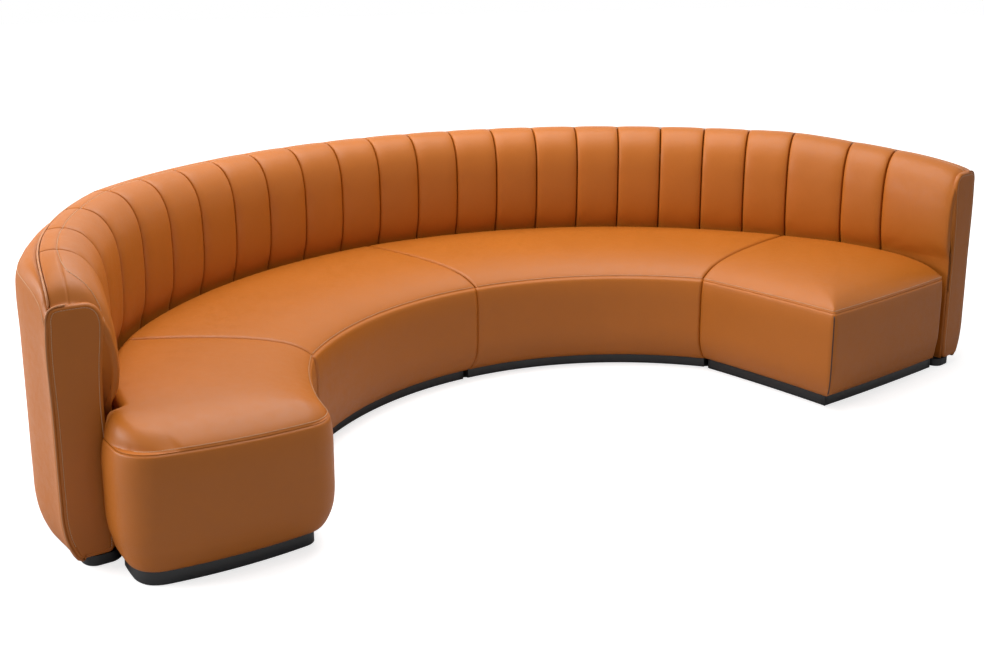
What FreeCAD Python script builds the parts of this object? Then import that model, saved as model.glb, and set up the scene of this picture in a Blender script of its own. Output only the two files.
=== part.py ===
"""Curved sectional sofa: a channelled back in four bolted sections and four seats that hook onto it.

Millimetres, +Z up. The room side of the back faces -Y, and the origin is the middle of the
footprint, on the floor. The sofa is laid out round the centre of the back's main arc and moved
to the origin at the end. Angles are in degrees from +X round that centre. Across the back,
distances are counted outwards from the foot line, where seat and back meet. Across a seat they
are counted inwards from the seam that joins its top to its border.
"""
import FreeCAD, Part
import math
import os

V = FreeCAD.Vector
UP = V(0, 0, 1)

# Plan of the back
FOOT_RADIUS = 1608.0
RETURN_RADIUS = 950.0
RETURN_ANGLE = 139.7
CHANNEL_PITCH = 6.236
CENTRE_LEFT_CHANNELS = 7
CENTRE_RIGHT_CHANNELS = 10
RETURN_PITCH = 10.55
RETURN_CHANNELS = 4
RETURN_SWELL = 42.0
RETURN_SWELL_PEAK = 0.72
RIGHT_WIDE_CHANNEL = 8.0
RIGHT_NARROW_CHANNEL = 5.8
RIGHT_LAST_CHANNEL = 9.3

# Heights of the back: its top falls along both end sections and rounds down at their ends
BACK_HEIGHT = 843.0
RIGHT_FALL = 60.0
RIGHT_SHOULDER = 14.0
RETURN_FALL = 55.0
RETURN_SHOULDER = 80.0

# Thicknesses of the back
BACK_THICKNESS = 138.0
PAD_THICKNESS = 45.0
PAD_BOTTOM = 300.0
PANEL_THICKNESS = 16.0
PANEL_CLEARANCE = 2.0
PAD_CLEARANCE = 0.3
END_PANEL_THICKNESS = 16.0
END_PANEL_MARGIN = 10.0
BOARD = 18.0
RAIL_DROP = 80.0
HOUSING = 5.0
RIB_SPACING = 450.0

# Form of the channels. A bow is how far an arc stands out from its chord
CHANNEL_CROWN = 14.0
CREASE_DROP = 6.0
CREASE_REACH = 2.0
FACE_REACH = 18.0
FACE_BOW = 11.0
TOP_ROLL_HEIGHT = 128.0
TOP_ROLL_DEPTH = 73.0
TOP_ROLL_BOW = 26.0
CREST_FALL = 8.0
OUTER_EDGE_HEIGHT = 80.0
OUTER_EDGE_BOW = 9.0
PANEL_TOP_REACH = 52.0
PANEL_TOP_BOW = 10.0
PANEL_EDGE = 4.0

# Form of the seats
SEAT_DEPTH = 568.0
SEAM_HEIGHT = 361.0
SEAT_HEIGHT = 436.0
ROLL_DEPTH = 60.0
ROLL_RISE = 40.0
ROLL_BOW = 7.7
CROWN_DEPTH = 114.0
CROWN_RISE = 21.7
CROWN_BOW = 4.0
REAR_SLOPE_DEPTH = 180.0
REAR_FALL = 8.0
BELLY = 10.0
BELLY_DROP = 50.0
BELLY_BOW = 2.9
CORNER_RISE = 3.0
JOINT_GAP = 4.0
REAR_GAP = 30.0

# Plan of the seats, from the sections of the back behind them
LEFT_JOINT_FRONT = 1.5
LEFT_JOINT_REAR = 7.0
MIDDLE_JOINT_FRONT = -4.25
MIDDLE_JOINT_REAR = 2.85
RIGHT_JOINT_FRONT = 9.9
RIGHT_JOINT_REAR = -0.3
RIGHT_END_FRONT = 0.6
RIGHT_END_REAR = -0.3
RIGHT_CORNER_REACH = 159.0
LEFT_END_FRONT = 28.3
LEFT_END_REAR = 9.3
LEFT_CORNER_INSET = 116.7
LEFT_END_REACH = 103.0
LEFT_FRONT_BOW = 30.0
LEFT_END_BOW = 33.0
RIGHT_FRONT_BOW = 8.0
RIGHT_END_BOW = 6.0
LEFT_CORNER_FLAT = 15.0
LEFT_REAR_ROUNDING = 110.0
RIGHT_REAR_ROUNDING = 20.0

# Inside of the seats
FRAME_TOP = 300.0
FRAME_INSET = 62.0
SIDE_WALL = 5.0
WEBBING = 3.0
WEBBING_WIDTH = 60.0
STRAP_SPACING = 85.0
DUST_COVER = 1.5

# Bases, shared by seats and back
LEATHER_BOTTOM = 42.0
LEATHER_LIP = 12.0
ROLL_UNDER_WIDTH = 47.0
ROLL_UNDER_HEIGHT = 98.0
ROLL_UNDER_BOW = 17.0
KICK_FACE = 4.0
PLINTH_INSET = 21.0
PLINTH_SIDE_INSET = 6.0
PLINTH_TOP = 60.0
GLIDE_HEIGHT = 5.0
GLIDE_RADIUS = 14.0
CORNER_TURN = 12.0
GLIDE_SPACING = 56.0

# Connectors
HOOK_WIDTH = 80.0
HOOK_TOP = 250.0
HOOK_PLATE = 60.0
HOOK_METAL = 3.0
HOOK_CLEARANCE = 0.3
HOOK_PLAY = 5.0
HOOK_ENGAGEMENT = 15.0
RECEIVER_FLOOR = 160.0
RECEIVER_PLATE = 60.0
RECEIVER_LIP = 40.0
BOLT_RADIUS = 4.0
BOLT_HEAD_RADIUS = 7.5
BOLT_HEAD = 5.0
BOLT_INSET = 40.0
BOLT_HEIGHTS = (180.0, 420.0)

# Stations across one channel, as shares of its width, and how much of the crown each has
SPAN_SHARES = (0, 0.2, 0.8, 1)
SPAN_CROWNS = (0, 0.9, 0.9, 0)
# Places of hooks and glides, as shares of the section that they belong to
HOOK_SHARES = (0.2, 0.8)
GLIDE_SHARES = (0.08, 0.5, 0.92)
# Sides of small round pieces and of the front arc, chords of a bow, and lengths of leather forms
ROUND_SIDES = 8
FRONT_SIDES = 90
DEEP_BOW = 0.075
DEEP_CHORDS = 4
SHALLOW_CHORDS = 2
LEATHER_STEP = 5.0
CORNER_STEP = 16.0
FLATNESS = 1e-6
# Overlength of shapes that are cut back afterwards
FAR = 400.0
OVERTURN = 20.0

FRONT_RADIUS = FOOT_RADIUS - SEAT_DEPTH
ROLL_BEND = LEATHER_BOTTOM + ROLL_UNDER_HEIGHT
CENTRE = V(0, 0, 0)
nodes = {}


def unit(angle):
    """Level direction at an angle in degrees."""
    return V(math.cos(math.radians(angle)), math.sin(math.radians(angle)), 0)


RETURN_CENTRE = unit(RETURN_ANGLE) * (FOOT_RADIUS - RETURN_RADIUS)
CENTRE_BREAK = RETURN_ANGLE - CENTRE_LEFT_CHANNELS * CHANNEL_PITCH
RIGHT_BREAK = CENTRE_BREAK - CENTRE_RIGHT_CHANNELS * CHANNEL_PITCH
RIGHT_END = RIGHT_BREAK - RIGHT_WIDE_CHANNEL - RIGHT_NARROW_CHANNEL - RIGHT_LAST_CHANNEL
RETURN_END = RETURN_ANGLE + RETURN_CHANNELS * RETURN_PITCH


def section(*points):
    """Closed wire in the upright plane through X, from (across, height) pairs.

    A third value makes the way to that point an arc that stands out by it, to the left of the
    direction of travel, drawn as a few chords to keep the part light.
    """
    here = V(points[0][0], 0, points[0][1])
    outline = [here]
    for across, height, *bow in points[1:] + points[:1]:
        there = V(across, 0, height)
        if bow:
            way = (there - here).normalize()
            via = (here + there) / 2 + V(-way.z, 0, way.x) * bow[0]
            chords = DEEP_CHORDS if abs(bow[0]) > DEEP_BOW * here.distanceToPoint(there) else SHALLOW_CHORDS
            outline += Part.Arc(here, via, there).toShape().discretize(chords + 1)[1:]
        else:
            outline.append(there)
        here = there
    return Part.makePolygon(outline)


def placed(shape, centre, angle):
    """Copy of a shape drawn along +X, turned to an angle about a centre."""
    copy = shape.copy()
    copy.rotate(V(0, 0, 0), UP, angle)
    copy.translate(centre)
    return copy


def swept(wire, centre, start, end):
    """Solid made by turning a section round an upright axis from one angle to another."""
    solid = Part.Face(wire).revolve(V(0, 0, 0), UP, end - start)
    return placed(solid, centre, start)


def flat_faces(corners):
    """One face over corners that lie in a plane, or else two triangles."""
    a, b, c = corners[:3]
    warp = (b - a).cross(c - a).normalize().dot(corners[-1] - a)
    outlines = [corners] if abs(warp) < FLATNESS else [corners[:3], corners[2:] + corners[:1]]
    return [Part.Face(polygon(*outline)) for outline in outlines]


def skin(wires):
    """Solid through a row of like polygons. Its faces are flat, which keeps the part light."""
    rings = [[vertex.Point for vertex in wire.OrderedVertexes] for wire in wires]
    faces = [Part.Face(wires[0]), Part.Face(wires[-1])]
    for here, there in zip(rings, rings[1:]):
        for i in range(len(here)):
            quad = [here[i - 1], here[i], there[i], there[i - 1]]
            corners = [p for j, p in enumerate(quad) if p.distanceToPoint(quad[j - 1]) > FLATNESS]
            if len(corners) > 2:
                faces += flat_faces(corners)
    solid = Part.makeSolid(Part.makeShell(faces))
    if solid.Volume < 0:
        solid.reverse()
    return solid


def rolled(wire, centre, start, end, step):
    """Leather form along an arc, in flat-faced lengths of at most one step each."""
    count = math.ceil(abs(end - start) / step)
    return skin([placed(wire, centre, start + (end - start) * i / count) for i in range(count + 1)])


def post(centre, radius, bottom, top):
    return Part.makeCylinder(radius, top - bottom, centre + UP * bottom)


def peg(radius, foot, axis, sides):
    """Round piece with flat sides, standing on a point along an axis."""
    ring = Part.makeCircle(radius, foot, axis).discretize(sides + 1)
    return Part.Face(Part.makePolygon(ring)).extrude(axis)


def prism(wire, bottom, top):
    solid = Part.Face(wire).extrude(UP * (top - bottom))
    solid.translate(UP * bottom)
    return solid


def polygon(*corners):
    return Part.makePolygon(list(corners) + [corners[0]])


def channel_section(foot, crest, crown):
    """One channel pad: bowed room face, rolled top and flat rear, crown proud of the seams."""
    rear = foot + PAD_THICKNESS
    outer = foot + BACK_THICKNESS - PANEL_THICKNESS - PANEL_CLEARANCE
    underside = crest - PAD_THICKNESS
    return section(
        (foot + KICK_FACE, PAD_BOTTOM),
        (foot - CREASE_REACH - 0.6 * crown, SEAT_HEIGHT - CREASE_DROP),
        (foot - FACE_REACH - crown, crest - TOP_ROLL_HEIGHT, FACE_BOW + 0.3 * crown),
        (foot + TOP_ROLL_DEPTH, crest, TOP_ROLL_BOW),
        (outer, crest - CREST_FALL),
        (outer, underside),
        (rear, underside - (outer - rear)),
        (rear, PAD_BOTTOM),
    )


def outer_section(foot, crest, swell):
    """Smooth outer back: rolls in at the top edge and under at the bottom, and may swell between."""
    outer = foot + BACK_THICKNESS + swell
    inner = outer - PANEL_THICKNESS
    joint = foot + BACK_THICKNESS - PANEL_THICKNESS - PANEL_CLEARANCE
    lip = outer - ROLL_UNDER_WIDTH
    return section(
        (joint, crest - CREST_FALL),
        (outer, crest - OUTER_EDGE_HEIGHT, OUTER_EDGE_BOW + 0.2 * swell),
        (outer, ROLL_BEND),
        (lip, LEATHER_BOTTOM, ROLL_UNDER_BOW),
        (lip, LEATHER_BOTTOM + LEATHER_LIP),
        (inner, ROLL_BEND),
        (inner, crest - OUTER_EDGE_HEIGHT),
        (joint, crest - PAD_THICKNESS),
    )


def right_crest(angle):
    """Height of the top along the right section, which falls evenly to its end."""
    return BACK_HEIGHT - RIGHT_FALL * (RIGHT_BREAK - angle) / (RIGHT_BREAK - RIGHT_END)


def return_crest(angle):
    """Height of the top along the return."""
    return BACK_HEIGHT - RETURN_FALL * (angle - RETURN_ANGLE) / (RETURN_END - RETURN_ANGLE)


def return_swell(angle):
    """How far the outer back of the return stands out before it turns in to its end panel."""
    share = (angle - RETURN_ANGLE) / (RETURN_END - RETURN_ANGLE)
    rise = min(share / RETURN_SWELL_PEAK, (1 - share) / (1 - RETURN_SWELL_PEAK))
    return RETURN_SWELL * rise * rise * (3 - 2 * rise)


def channel_wires(profile, centre, start, end, crest, shoulder):
    """Sections from seam to seam of one channel. A shoulder rounds its top down towards the end."""
    wires = []
    for share, crown in zip(SPAN_SHARES, SPAN_CROWNS):
        angle = start + share * (end - start)
        drop = shoulder * (1 - math.sqrt(1 - share * share))
        wires.append(placed(profile(angle, crest(angle) - drop, crown * CHANNEL_CROWN), centre, angle))
    return wires


def back_frame(foot, centre, start, end, crest, joints):
    """Bent plywood base, kick panel and top rail on upright ribs housed in them, glued into one frame."""
    rear = foot + BACK_THICKNESS - PANEL_THICKNESS - PANEL_CLEARANCE
    face = foot + KICK_FACE
    rail = crest - PAD_THICKNESS - RAIL_DROP
    base_top = PLINTH_TOP + BOARD
    base_rear = foot + BACK_THICKNESS - ROLL_UNDER_WIDTH
    rail_front = foot + PAD_THICKNESS + PAD_CLEARANCE

    def bent(inner, outer, bottom, top):
        wire = section((inner, bottom), (outer, bottom), (outer, top), (inner, top))
        return swept(wire, centre, start, end)

    base = bent(face, base_rear, PLINTH_TOP, base_top)
    kick = bent(face, face + BOARD, base_top - HOUSING, PAD_BOTTOM)
    top = bent(rail_front, rear, rail - BOARD, rail)
    rib_plate = Part.Face(section(
        (face + BOARD - HOUSING, base_top - HOUSING),
        (base_rear, base_top - HOUSING),
        (base_rear, ROLL_BEND),
        (rear, ROLL_BEND + rear - base_rear),
        (rear, rail - BOARD + HOUSING),
        (rail_front, rail - BOARD + HOUSING),
        (rail_front, PAD_BOTTOM),
        (face + BOARD - HOUSING, PAD_BOTTOM),
    ))
    bays = math.ceil(foot * math.radians(abs(end - start)) / RIB_SPACING)
    uprights = []
    for share in [i / bays for i in range(bays + 1)]:
        rib = rib_plate.extrude(V(0, BOARD, 0))
        rib.translate(V(0, -BOARD * (share if end > start else 1 - share), 0))
        uprights.append(placed(rib, centre, start + share * (end - start)))
    frame = base.multiFuse([kick, top] + uprights).removeSplitter()
    for angle in joints:
        for height in BOLT_HEIGHTS:
            frame = frame.cut(placed(bolt_shank(foot, height), centre, angle))
    return frame


def bolt_shank(foot, height):
    """Shank through the two ribs that meet where back sections join."""
    across = foot + PAD_THICKNESS + BOLT_INSET
    return peg(BOLT_RADIUS, V(across, -BOARD, height), V(0, 2 * BOARD, 0), ROUND_SIDES)


def bolt(foot, height):
    """Shank with a head on one side and a nut on the other."""
    across = foot + PAD_THICKNESS + BOLT_INSET
    ends = [peg(BOLT_HEAD_RADIUS, V(across, y, height), V(0, BOLT_HEAD, 0), ROUND_SIDES)
            for y in (BOARD, -BOARD - BOLT_HEAD)]
    return bolt_shank(foot, height).multiFuse(ends)


def back_plinth(foot, centre, start, end):
    """Hollow plinth under one back section: two walls and end blocks, set in from the leather."""
    inner = foot + KICK_FACE + PLINTH_INSET
    outer = foot + BACK_THICKNESS - ROLL_UNDER_WIDTH - PLINTH_INSET / 2
    roof = PLINTH_TOP - BOARD
    body = section((inner, GLIDE_HEIGHT), (outer, GLIDE_HEIGHT), (outer, PLINTH_TOP), (inner, PLINTH_TOP))
    inside = section((inner + BOARD, 0), (outer - BOARD, 0), (outer - BOARD, roof), (inner + BOARD, roof))
    margin = math.copysign(math.degrees(BOARD / foot), end - start)
    return swept(body, centre, start, end).cut(swept(inside, centre, start + margin, end - margin))


def end_outline(foot, crest, inset):
    """Outline of an end panel, drawn in from the roll of the last channel."""
    kick = foot + KICK_FACE + inset
    crease = foot - CREASE_REACH + END_PANEL_MARGIN + inset
    front = foot - FACE_REACH + END_PANEL_MARGIN + inset
    rear = foot + BACK_THICKNESS - inset
    top = crest - END_PANEL_MARGIN - inset
    bottom = LEATHER_BOTTOM + inset
    return section(
        (kick, bottom),
        (kick, PAD_BOTTOM),
        (crease, SEAT_HEIGHT - CREASE_DROP),
        (front, top - TOP_ROLL_HEIGHT / 2, FACE_BOW / 2),
        (front + PANEL_TOP_REACH, top, PANEL_TOP_BOW),
        (rear - PANEL_TOP_REACH / 2, top),
        (rear, top - PANEL_TOP_REACH / 2, PANEL_TOP_BOW / 2),
        (rear, ROLL_BEND),
        (rear - ROLL_UNDER_WIDTH, bottom, ROLL_UNDER_BOW),
    )


def end_panel(foot, crest, way):
    """Plain padded panel closing one end of the back, with its outer edge softened."""
    wires = []
    for depth, inset in ((0, 0), (END_PANEL_THICKNESS - PANEL_EDGE, 0), (END_PANEL_THICKNESS, PANEL_EDGE)):
        wire = end_outline(foot, crest, inset)
        wire.translate(V(0, way * depth, 0))
        wires.append(wire)
    return skin(wires)


def back_glide(foot, centre, angle):
    across = foot + KICK_FACE + PLINTH_INSET + BOARD / 2
    return placed(peg(GLIDE_RADIUS, V(across, 0, 0), UP * GLIDE_HEIGHT, ROUND_SIDES), centre, angle)


def pressed(outline):
    """Sheet metal profile, as wide as a hook."""
    plate = Part.Face(outline).extrude(V(0, HOOK_WIDTH, 0))
    plate.translate(V(0, -HOOK_WIDTH / 2, 0))
    return plate


def receiver_slot(foot):
    """Rear face of a receiver's channel. The flat plate behind it spans the bent kick panel."""
    return math.sqrt((foot + KICK_FACE) ** 2 - (HOOK_WIDTH / 2) ** 2) - HOOK_METAL


def receiver(foot):
    """Upward-open sheet metal channel on the kick panel that takes a seat's hook."""
    slot = receiver_slot(foot)
    back = slot + HOOK_METAL
    lip = slot - HOOK_CLEARANCE - HOOK_METAL - HOOK_PLAY
    return pressed(section(
        (back, RECEIVER_FLOOR),
        (back, RECEIVER_FLOOR + RECEIVER_PLATE),
        (slot, RECEIVER_FLOOR + RECEIVER_PLATE),
        (slot, RECEIVER_FLOOR + HOOK_METAL),
        (lip, RECEIVER_FLOOR + HOOK_METAL),
        (lip, RECEIVER_FLOOR + RECEIVER_LIP),
        (lip - HOOK_METAL, RECEIVER_FLOOR + RECEIVER_LIP),
        (lip - HOOK_METAL, RECEIVER_FLOOR),
    ))


def hook(foot):
    """Down-turned hook on a seat's rear wall, hanging in the receiver's channel."""
    wall = foot - REAR_GAP
    tip = receiver_slot(foot) - HOOK_CLEARANCE
    bottom = RECEIVER_FLOOR + RECEIVER_LIP - HOOK_ENGAGEMENT
    return pressed(section(
        (wall, HOOK_TOP - HOOK_PLATE),
        (wall, HOOK_TOP),
        (tip, HOOK_TOP),
        (tip, bottom),
        (tip - HOOK_METAL, bottom),
        (tip - HOOK_METAL, HOOK_TOP - HOOK_METAL),
        (wall + HOOK_METAL, HOOK_TOP - HOOK_METAL),
        (wall + HOOK_METAL, HOOK_TOP - HOOK_PLATE),
    ))


def bowed(start, end, bow):
    """Centre and radius of the arc from start to end that stands out to the left by bow."""
    chord = end - start
    radius = (chord.Length ** 2 / 4 + bow * bow) / (2 * bow)
    left = V(-chord.y, chord.x, 0).normalize()
    return (start + end) / 2 + left * (bow - radius), radius


def seat_edge(at):
    """Free edge of a seat, from its roll-under to its top. at turns depth into distance from an axis."""
    side = at(1) - at(0)
    return [
        (at(ROLL_UNDER_WIDTH), LEATHER_BOTTOM),
        (at(-BELLY), ROLL_BEND, side * ROLL_UNDER_BOW),
        (at(-BELLY), SEAM_HEIGHT - BELLY_DROP),
        (at(0), SEAM_HEIGHT, side * BELLY_BOW),
        (at(ROLL_DEPTH), SEAM_HEIGHT + ROLL_RISE, side * ROLL_BOW),
    ]


def seat_section(at):
    """Section of a seat from its free edge far past its rear, with the crown of its top."""
    side = at(1) - at(0)
    reach = at(SEAT_DEPTH + FAR)
    shoulder = SEAM_HEIGHT + ROLL_RISE
    return section(
        *seat_edge(at),
        (at(ROLL_DEPTH + CROWN_DEPTH), shoulder + CROWN_RISE, side * CROWN_BOW),
        (at(SEAT_DEPTH - REAR_SLOPE_DEPTH), SEAT_HEIGHT),
        (reach, SEAT_HEIGHT - REAR_FALL),
        (reach, LEATHER_BOTTOM),
    )


def span(centre, points):
    """Least and greatest angle at which points stand about a centre."""
    rays = [p - centre for p in points]
    mean = sum((V(r).normalize() for r in rays), V(0, 0, 0))
    middle = math.degrees(math.atan2(mean.y, mean.x))
    turns = [math.degrees(mean.getAngle(r)) * math.copysign(1, mean.cross(r).z) for r in rays]
    return middle + min(turns), middle + max(turns)


def rear_region(gap, bottom, top):
    """Everything on the room side of a line that keeps a gap to the foot line."""
    main = FOOT_RADIUS - gap
    tight = RETURN_RADIUS - gap
    begin = RIGHT_END - OVERTURN
    finish = RETURN_END + 2 * OVERTURN
    first = unit(begin) * main
    last = RETURN_CENTRE + unit(finish) * tight
    joint = unit(RETURN_ANGLE) * main
    apex = V(0, -FOOT_RADIUS / 2, 0)
    wire = Part.Wire([
        Part.Arc(first, unit((begin + RETURN_ANGLE) / 2) * main, joint).toShape(),
        Part.Arc(joint, RETURN_CENTRE + unit((RETURN_ANGLE + finish) / 2) * tight, last).toShape(),
        Part.makeLine(last, apex),
        Part.makeLine(apex, first),
    ])
    return prism(wire, bottom, top)


class Seat:
    """One seat section: its front arc, its two sides and, on an end section, its free end."""

    def __init__(self, name, sides, front, end=None, end_first=False, rounding=0.0):
        self.name = name
        self.sides = sides
        self.front_centre, self.front_radius = front
        self.end = end
        self.end_first = end_first
        self.rounding = rounding

    def corners(self, inset):
        """Corners of the wedge between the sides, inset from joints and run past free ends."""
        corners = []
        for i, (front, rear) in enumerate(self.sides):
            along = (rear - front).normalize()
            inwards = V(-along.y, along.x, 0) * (1 if i == 0 else -1)
            free = self.end is not None and (i == 0) == self.end_first
            step = inwards * (-FAR / 3 if free else inset + JOINT_GAP / 2)
            corners.append((front - along * FAR / 3 + step, rear + along * FAR + step))
        return corners

    def plan(self, front, side, rear, end, bottom, top):
        """Upright block inset by given distances from the front seam, joints, foot line and end."""
        (a, b), (c, d) = self.corners(side)
        block = prism(polygon(a, b, d, c), bottom, top)
        block = block.common(rear_region(rear, bottom, top))
        foot = self.front_centre + UP * (bottom - 1)
        block = block.cut(peg(self.front_radius + front, foot, UP * (top - bottom + 2), FRONT_SIDES))
        if self.end:
            centre, radius = self.end
            block = block.common(post(centre, radius - end, bottom, top))
            rounding = max(self.rounding - max(end, 0), BOARD)
            rear_centre, foot = (CENTRE, FOOT_RADIUS) if self.end_first else (RETURN_CENTRE, RETURN_RADIUS)
            rear_point = self.sides[0 if self.end_first else 1][1]
            end_line = (centre, radius - end - rounding)
            axis = crossing(end_line, (rear_centre, foot - rear - rounding), rear_point)
            outline = [(0, bottom), (rounding, bottom), (rounding, top), (0, top)]
            block = turned_corner(block, axis, axis - centre, axis - rear_centre, outline).removeSplitter()
        return block

    def shape(self):
        """The upholstered form: front and end profiles met at the corner, cut to the plan."""
        points = [p for pair in self.corners(0) for p in pair]
        low, high = span(self.front_centre, points)
        wire = seat_section(lambda d: self.front_radius + d)
        form = rolled(wire, self.front_centre, low - 1, high + 1, LEATHER_STEP)
        form = form.common(self.plan(-FAR / 2, 0, REAR_GAP, -BELLY, LEATHER_BOTTOM, SEAT_HEIGHT + BOARD))
        if self.end:
            centre, radius = self.end
            low, high = span(centre, points)
            rear = rolled(seat_section(lambda d: radius - d), centre, low - 1, high + 1, LEATHER_STEP)
            form = form.common(rear)
        return form


def turned_corner(form, axis, one_way, other_way, outline):
    """Replace the corner between two directions by an outline turned round an upright axis."""
    one = one_way.normalize() * FAR
    other = other_way.normalize() * FAR
    kite = polygon(axis, axis + one, axis + one + other, axis + other)
    low, high = span(axis, [axis + one, axis + other])
    corner = rolled(section(*outline), axis, low, high, CORNER_STEP)
    return form.cut(prism(kite, 0, SEAT_HEIGHT + FAR)).fuse(corner)


def crossing(first, second, towards):
    """The crossing of two circles that lies nearer to a point."""
    (p, r), (q, s) = first, second
    apart = (q - p).Length
    along = (q - p).normalize()
    reach = (apart ** 2 + r * r - s * s) / (2 * apart)
    half = math.sqrt(r * r - reach * reach)
    middle = p + along * reach
    across = V(-along.y, along.x, 0) * half
    return min(middle + across, middle - across, key=towards.distanceToPoint)


def round_front_corner(form, seat, radius):
    """Replace the mitre of front and end by the same edge turned round an upright axis."""
    end_centre, end_radius = seat.end
    front_point = seat.sides[1][0]
    inside_front = (seat.front_centre, seat.front_radius + radius)
    axis = crossing(inside_front, (end_centre, end_radius - radius), front_point)
    edge = seat_edge(lambda d: radius - d)
    outline = edge + [(0, SEAM_HEIGHT + ROLL_RISE + CORNER_RISE), (0, LEATHER_BOTTOM)]
    return turned_corner(form, axis, seat.front_centre - axis, axis - end_centre, outline)


def straps(seat, area):
    """Webbing straps from front to rear, spread evenly between the sides of a seat."""
    (a, b), (c, d) = seat.corners(0)
    count = math.floor((c - a).Length / STRAP_SPACING)
    strap = Part.makeBox(SEAT_DEPTH + 2 * FAR, WEBBING_WIDTH, WEBBING, V(0, -WEBBING_WIDTH / 2, FRAME_TOP))
    cut = []
    for share in [(i + 0.5) / count for i in range(count)]:
        front = a + (c - a) * share
        along = b + (d - b) * share - front
        cut.append(placed(strap, front, math.degrees(math.atan2(along.y, along.x))).common(area))
    return Part.makeCompound(cut)


def spread_glides(footprint):
    """A glide at each corner of a footprint that stands clear of the ones before it."""
    sole = min(footprint.Faces, key=lambda face: face.CenterOfMass.z)
    ring = [vertex.Point for vertex in sole.OuterWire.OrderedVertexes]
    kept = []
    for before, point, after in zip(ring[-1:] + ring, ring, ring[1:] + ring):
        is_corner = math.degrees((point - before).getAngle(after - point)) > CORNER_TURN
        if is_corner and all(point.distanceToPoint(other) > GLIDE_SPACING for other in kept):
            kept.append(point)
    return Part.makeCompound([
        peg(GLIDE_RADIUS, V(p.x, p.y, 0), UP * GLIDE_HEIGHT, ROUND_SIDES) for p in kept])


def build_seat(seat, hook_places):
    """All pieces of one seat section."""
    rear = REAR_GAP + SIDE_WALL
    frame_bottom = PLINTH_TOP + DUST_COVER

    def inner(extra, bottom, top):
        edge = FRAME_INSET + extra
        return seat.plan(edge, SIDE_WALL + extra, rear + extra, edge, bottom, top)

    def under(extra, bottom, top):
        edge = ROLL_UNDER_WIDTH + PLINTH_INSET + extra
        side = PLINTH_SIDE_INSET + extra
        return seat.plan(edge, side, rear + side, edge, bottom, top)

    form = seat.shape()
    if seat.end and not seat.end_first:
        form = round_front_corner(form, seat, ROLL_DEPTH + LEFT_CORNER_FLAT)
    slab = post(CENTRE, FOOT_RADIUS + FAR, 0, SEAM_HEIGHT)
    pieces = {
        "top": form.cut(slab),
        "border": form.common(slab).cut(inner(0, 0, SEAM_HEIGHT)),
        "foam": inner(0, FRAME_TOP + WEBBING, SEAM_HEIGHT),
        "frame": inner(0, frame_bottom, FRAME_TOP).cut(inner(BOARD, frame_bottom, FRAME_TOP)),
        "dust_cover": inner(0, PLINTH_TOP, frame_bottom),
        "plinth": under(0, GLIDE_HEIGHT, PLINTH_TOP).cut(under(BOARD, GLIDE_HEIGHT, PLINTH_TOP)),
        "webbing": straps(seat, inner(BOARD / 3, FRAME_TOP, FRAME_TOP + WEBBING)),
        "glides": spread_glides(under(BOARD / 2, 0, GLIDE_HEIGHT)),
        "hooks": Part.makeCompound([placed(hook(foot), *place) for foot, *place in hook_places]),
    }
    for piece, shape in pieces.items():
        nodes[seat.name + "_" + piece] = shape


# Back sections as (name, foot radius, centre, start, end, joints with other sections)
sections = [
    ("back_return", RETURN_RADIUS, RETURN_CENTRE, RETURN_ANGLE, RETURN_END, [RETURN_ANGLE]),
    ("back_centre_left", FOOT_RADIUS, CENTRE, RETURN_ANGLE, CENTRE_BREAK, [RETURN_ANGLE, CENTRE_BREAK]),
    ("back_centre_right", FOOT_RADIUS, CENTRE, CENTRE_BREAK, RIGHT_BREAK, [CENTRE_BREAK, RIGHT_BREAK]),
    ("back_right", FOOT_RADIUS, CENTRE, RIGHT_BREAK, RIGHT_END, [RIGHT_BREAK]),
]
return_end_crest = BACK_HEIGHT - RETURN_FALL - RETURN_SHOULDER
right_end_crest = BACK_HEIGHT - RIGHT_FALL - RIGHT_SHOULDER
lowest_crest = {"back_return": return_end_crest, "back_right": right_end_crest}
for name, foot, centre, start, end, joints in sections:
    crest = lowest_crest.get(name, BACK_HEIGHT)
    nodes[name + "_frame"] = back_frame(foot, centre, start, end, crest, joints)
    nodes[name + "_plinth"] = back_plinth(foot, centre, start, end)

# Channel seams of each section. The outer sections fall, and round down to the end panels
channel_seams = {
    "back_return": [RETURN_ANGLE + i * RETURN_PITCH for i in range(RETURN_CHANNELS + 1)],
    "back_centre_left": [RETURN_ANGLE - i * CHANNEL_PITCH for i in range(CENTRE_LEFT_CHANNELS + 1)],
    "back_centre_right": [CENTRE_BREAK - i * CHANNEL_PITCH for i in range(CENTRE_RIGHT_CHANNELS + 1)],
    "back_right": [RIGHT_BREAK, RIGHT_BREAK - RIGHT_WIDE_CHANNEL, RIGHT_END + RIGHT_LAST_CHANNEL, RIGHT_END],
}
crests = {"back_return": return_crest, "back_right": right_crest}
shoulders = {"back_return": RETURN_SHOULDER, "back_right": RIGHT_SHOULDER}
swells = {"back_return": return_swell}
for name, foot, centre, *_ in sections:
    seams = channel_seams[name]
    crest = crests.get(name, lambda angle: BACK_HEIGHT)
    swell = swells.get(name, lambda angle: 0)
    pads = []
    panels = []
    for start, end in zip(seams, seams[1:]):
        drop = shoulders.get(name, 0) if end == seams[-1] else 0
        pad = lambda angle, top, crown: channel_section(foot, top, crown)
        panel = lambda angle, top, crown: outer_section(foot, top, swell(angle))
        pads.append(skin(channel_wires(pad, centre, start, end, crest, drop)))
        panels = panels[:-1] + channel_wires(panel, centre, start, end, crest, drop)
    nodes[name + "_channels"] = Part.makeCompound(pads)
    nodes[name + "_outer"] = skin(panels)

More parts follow.
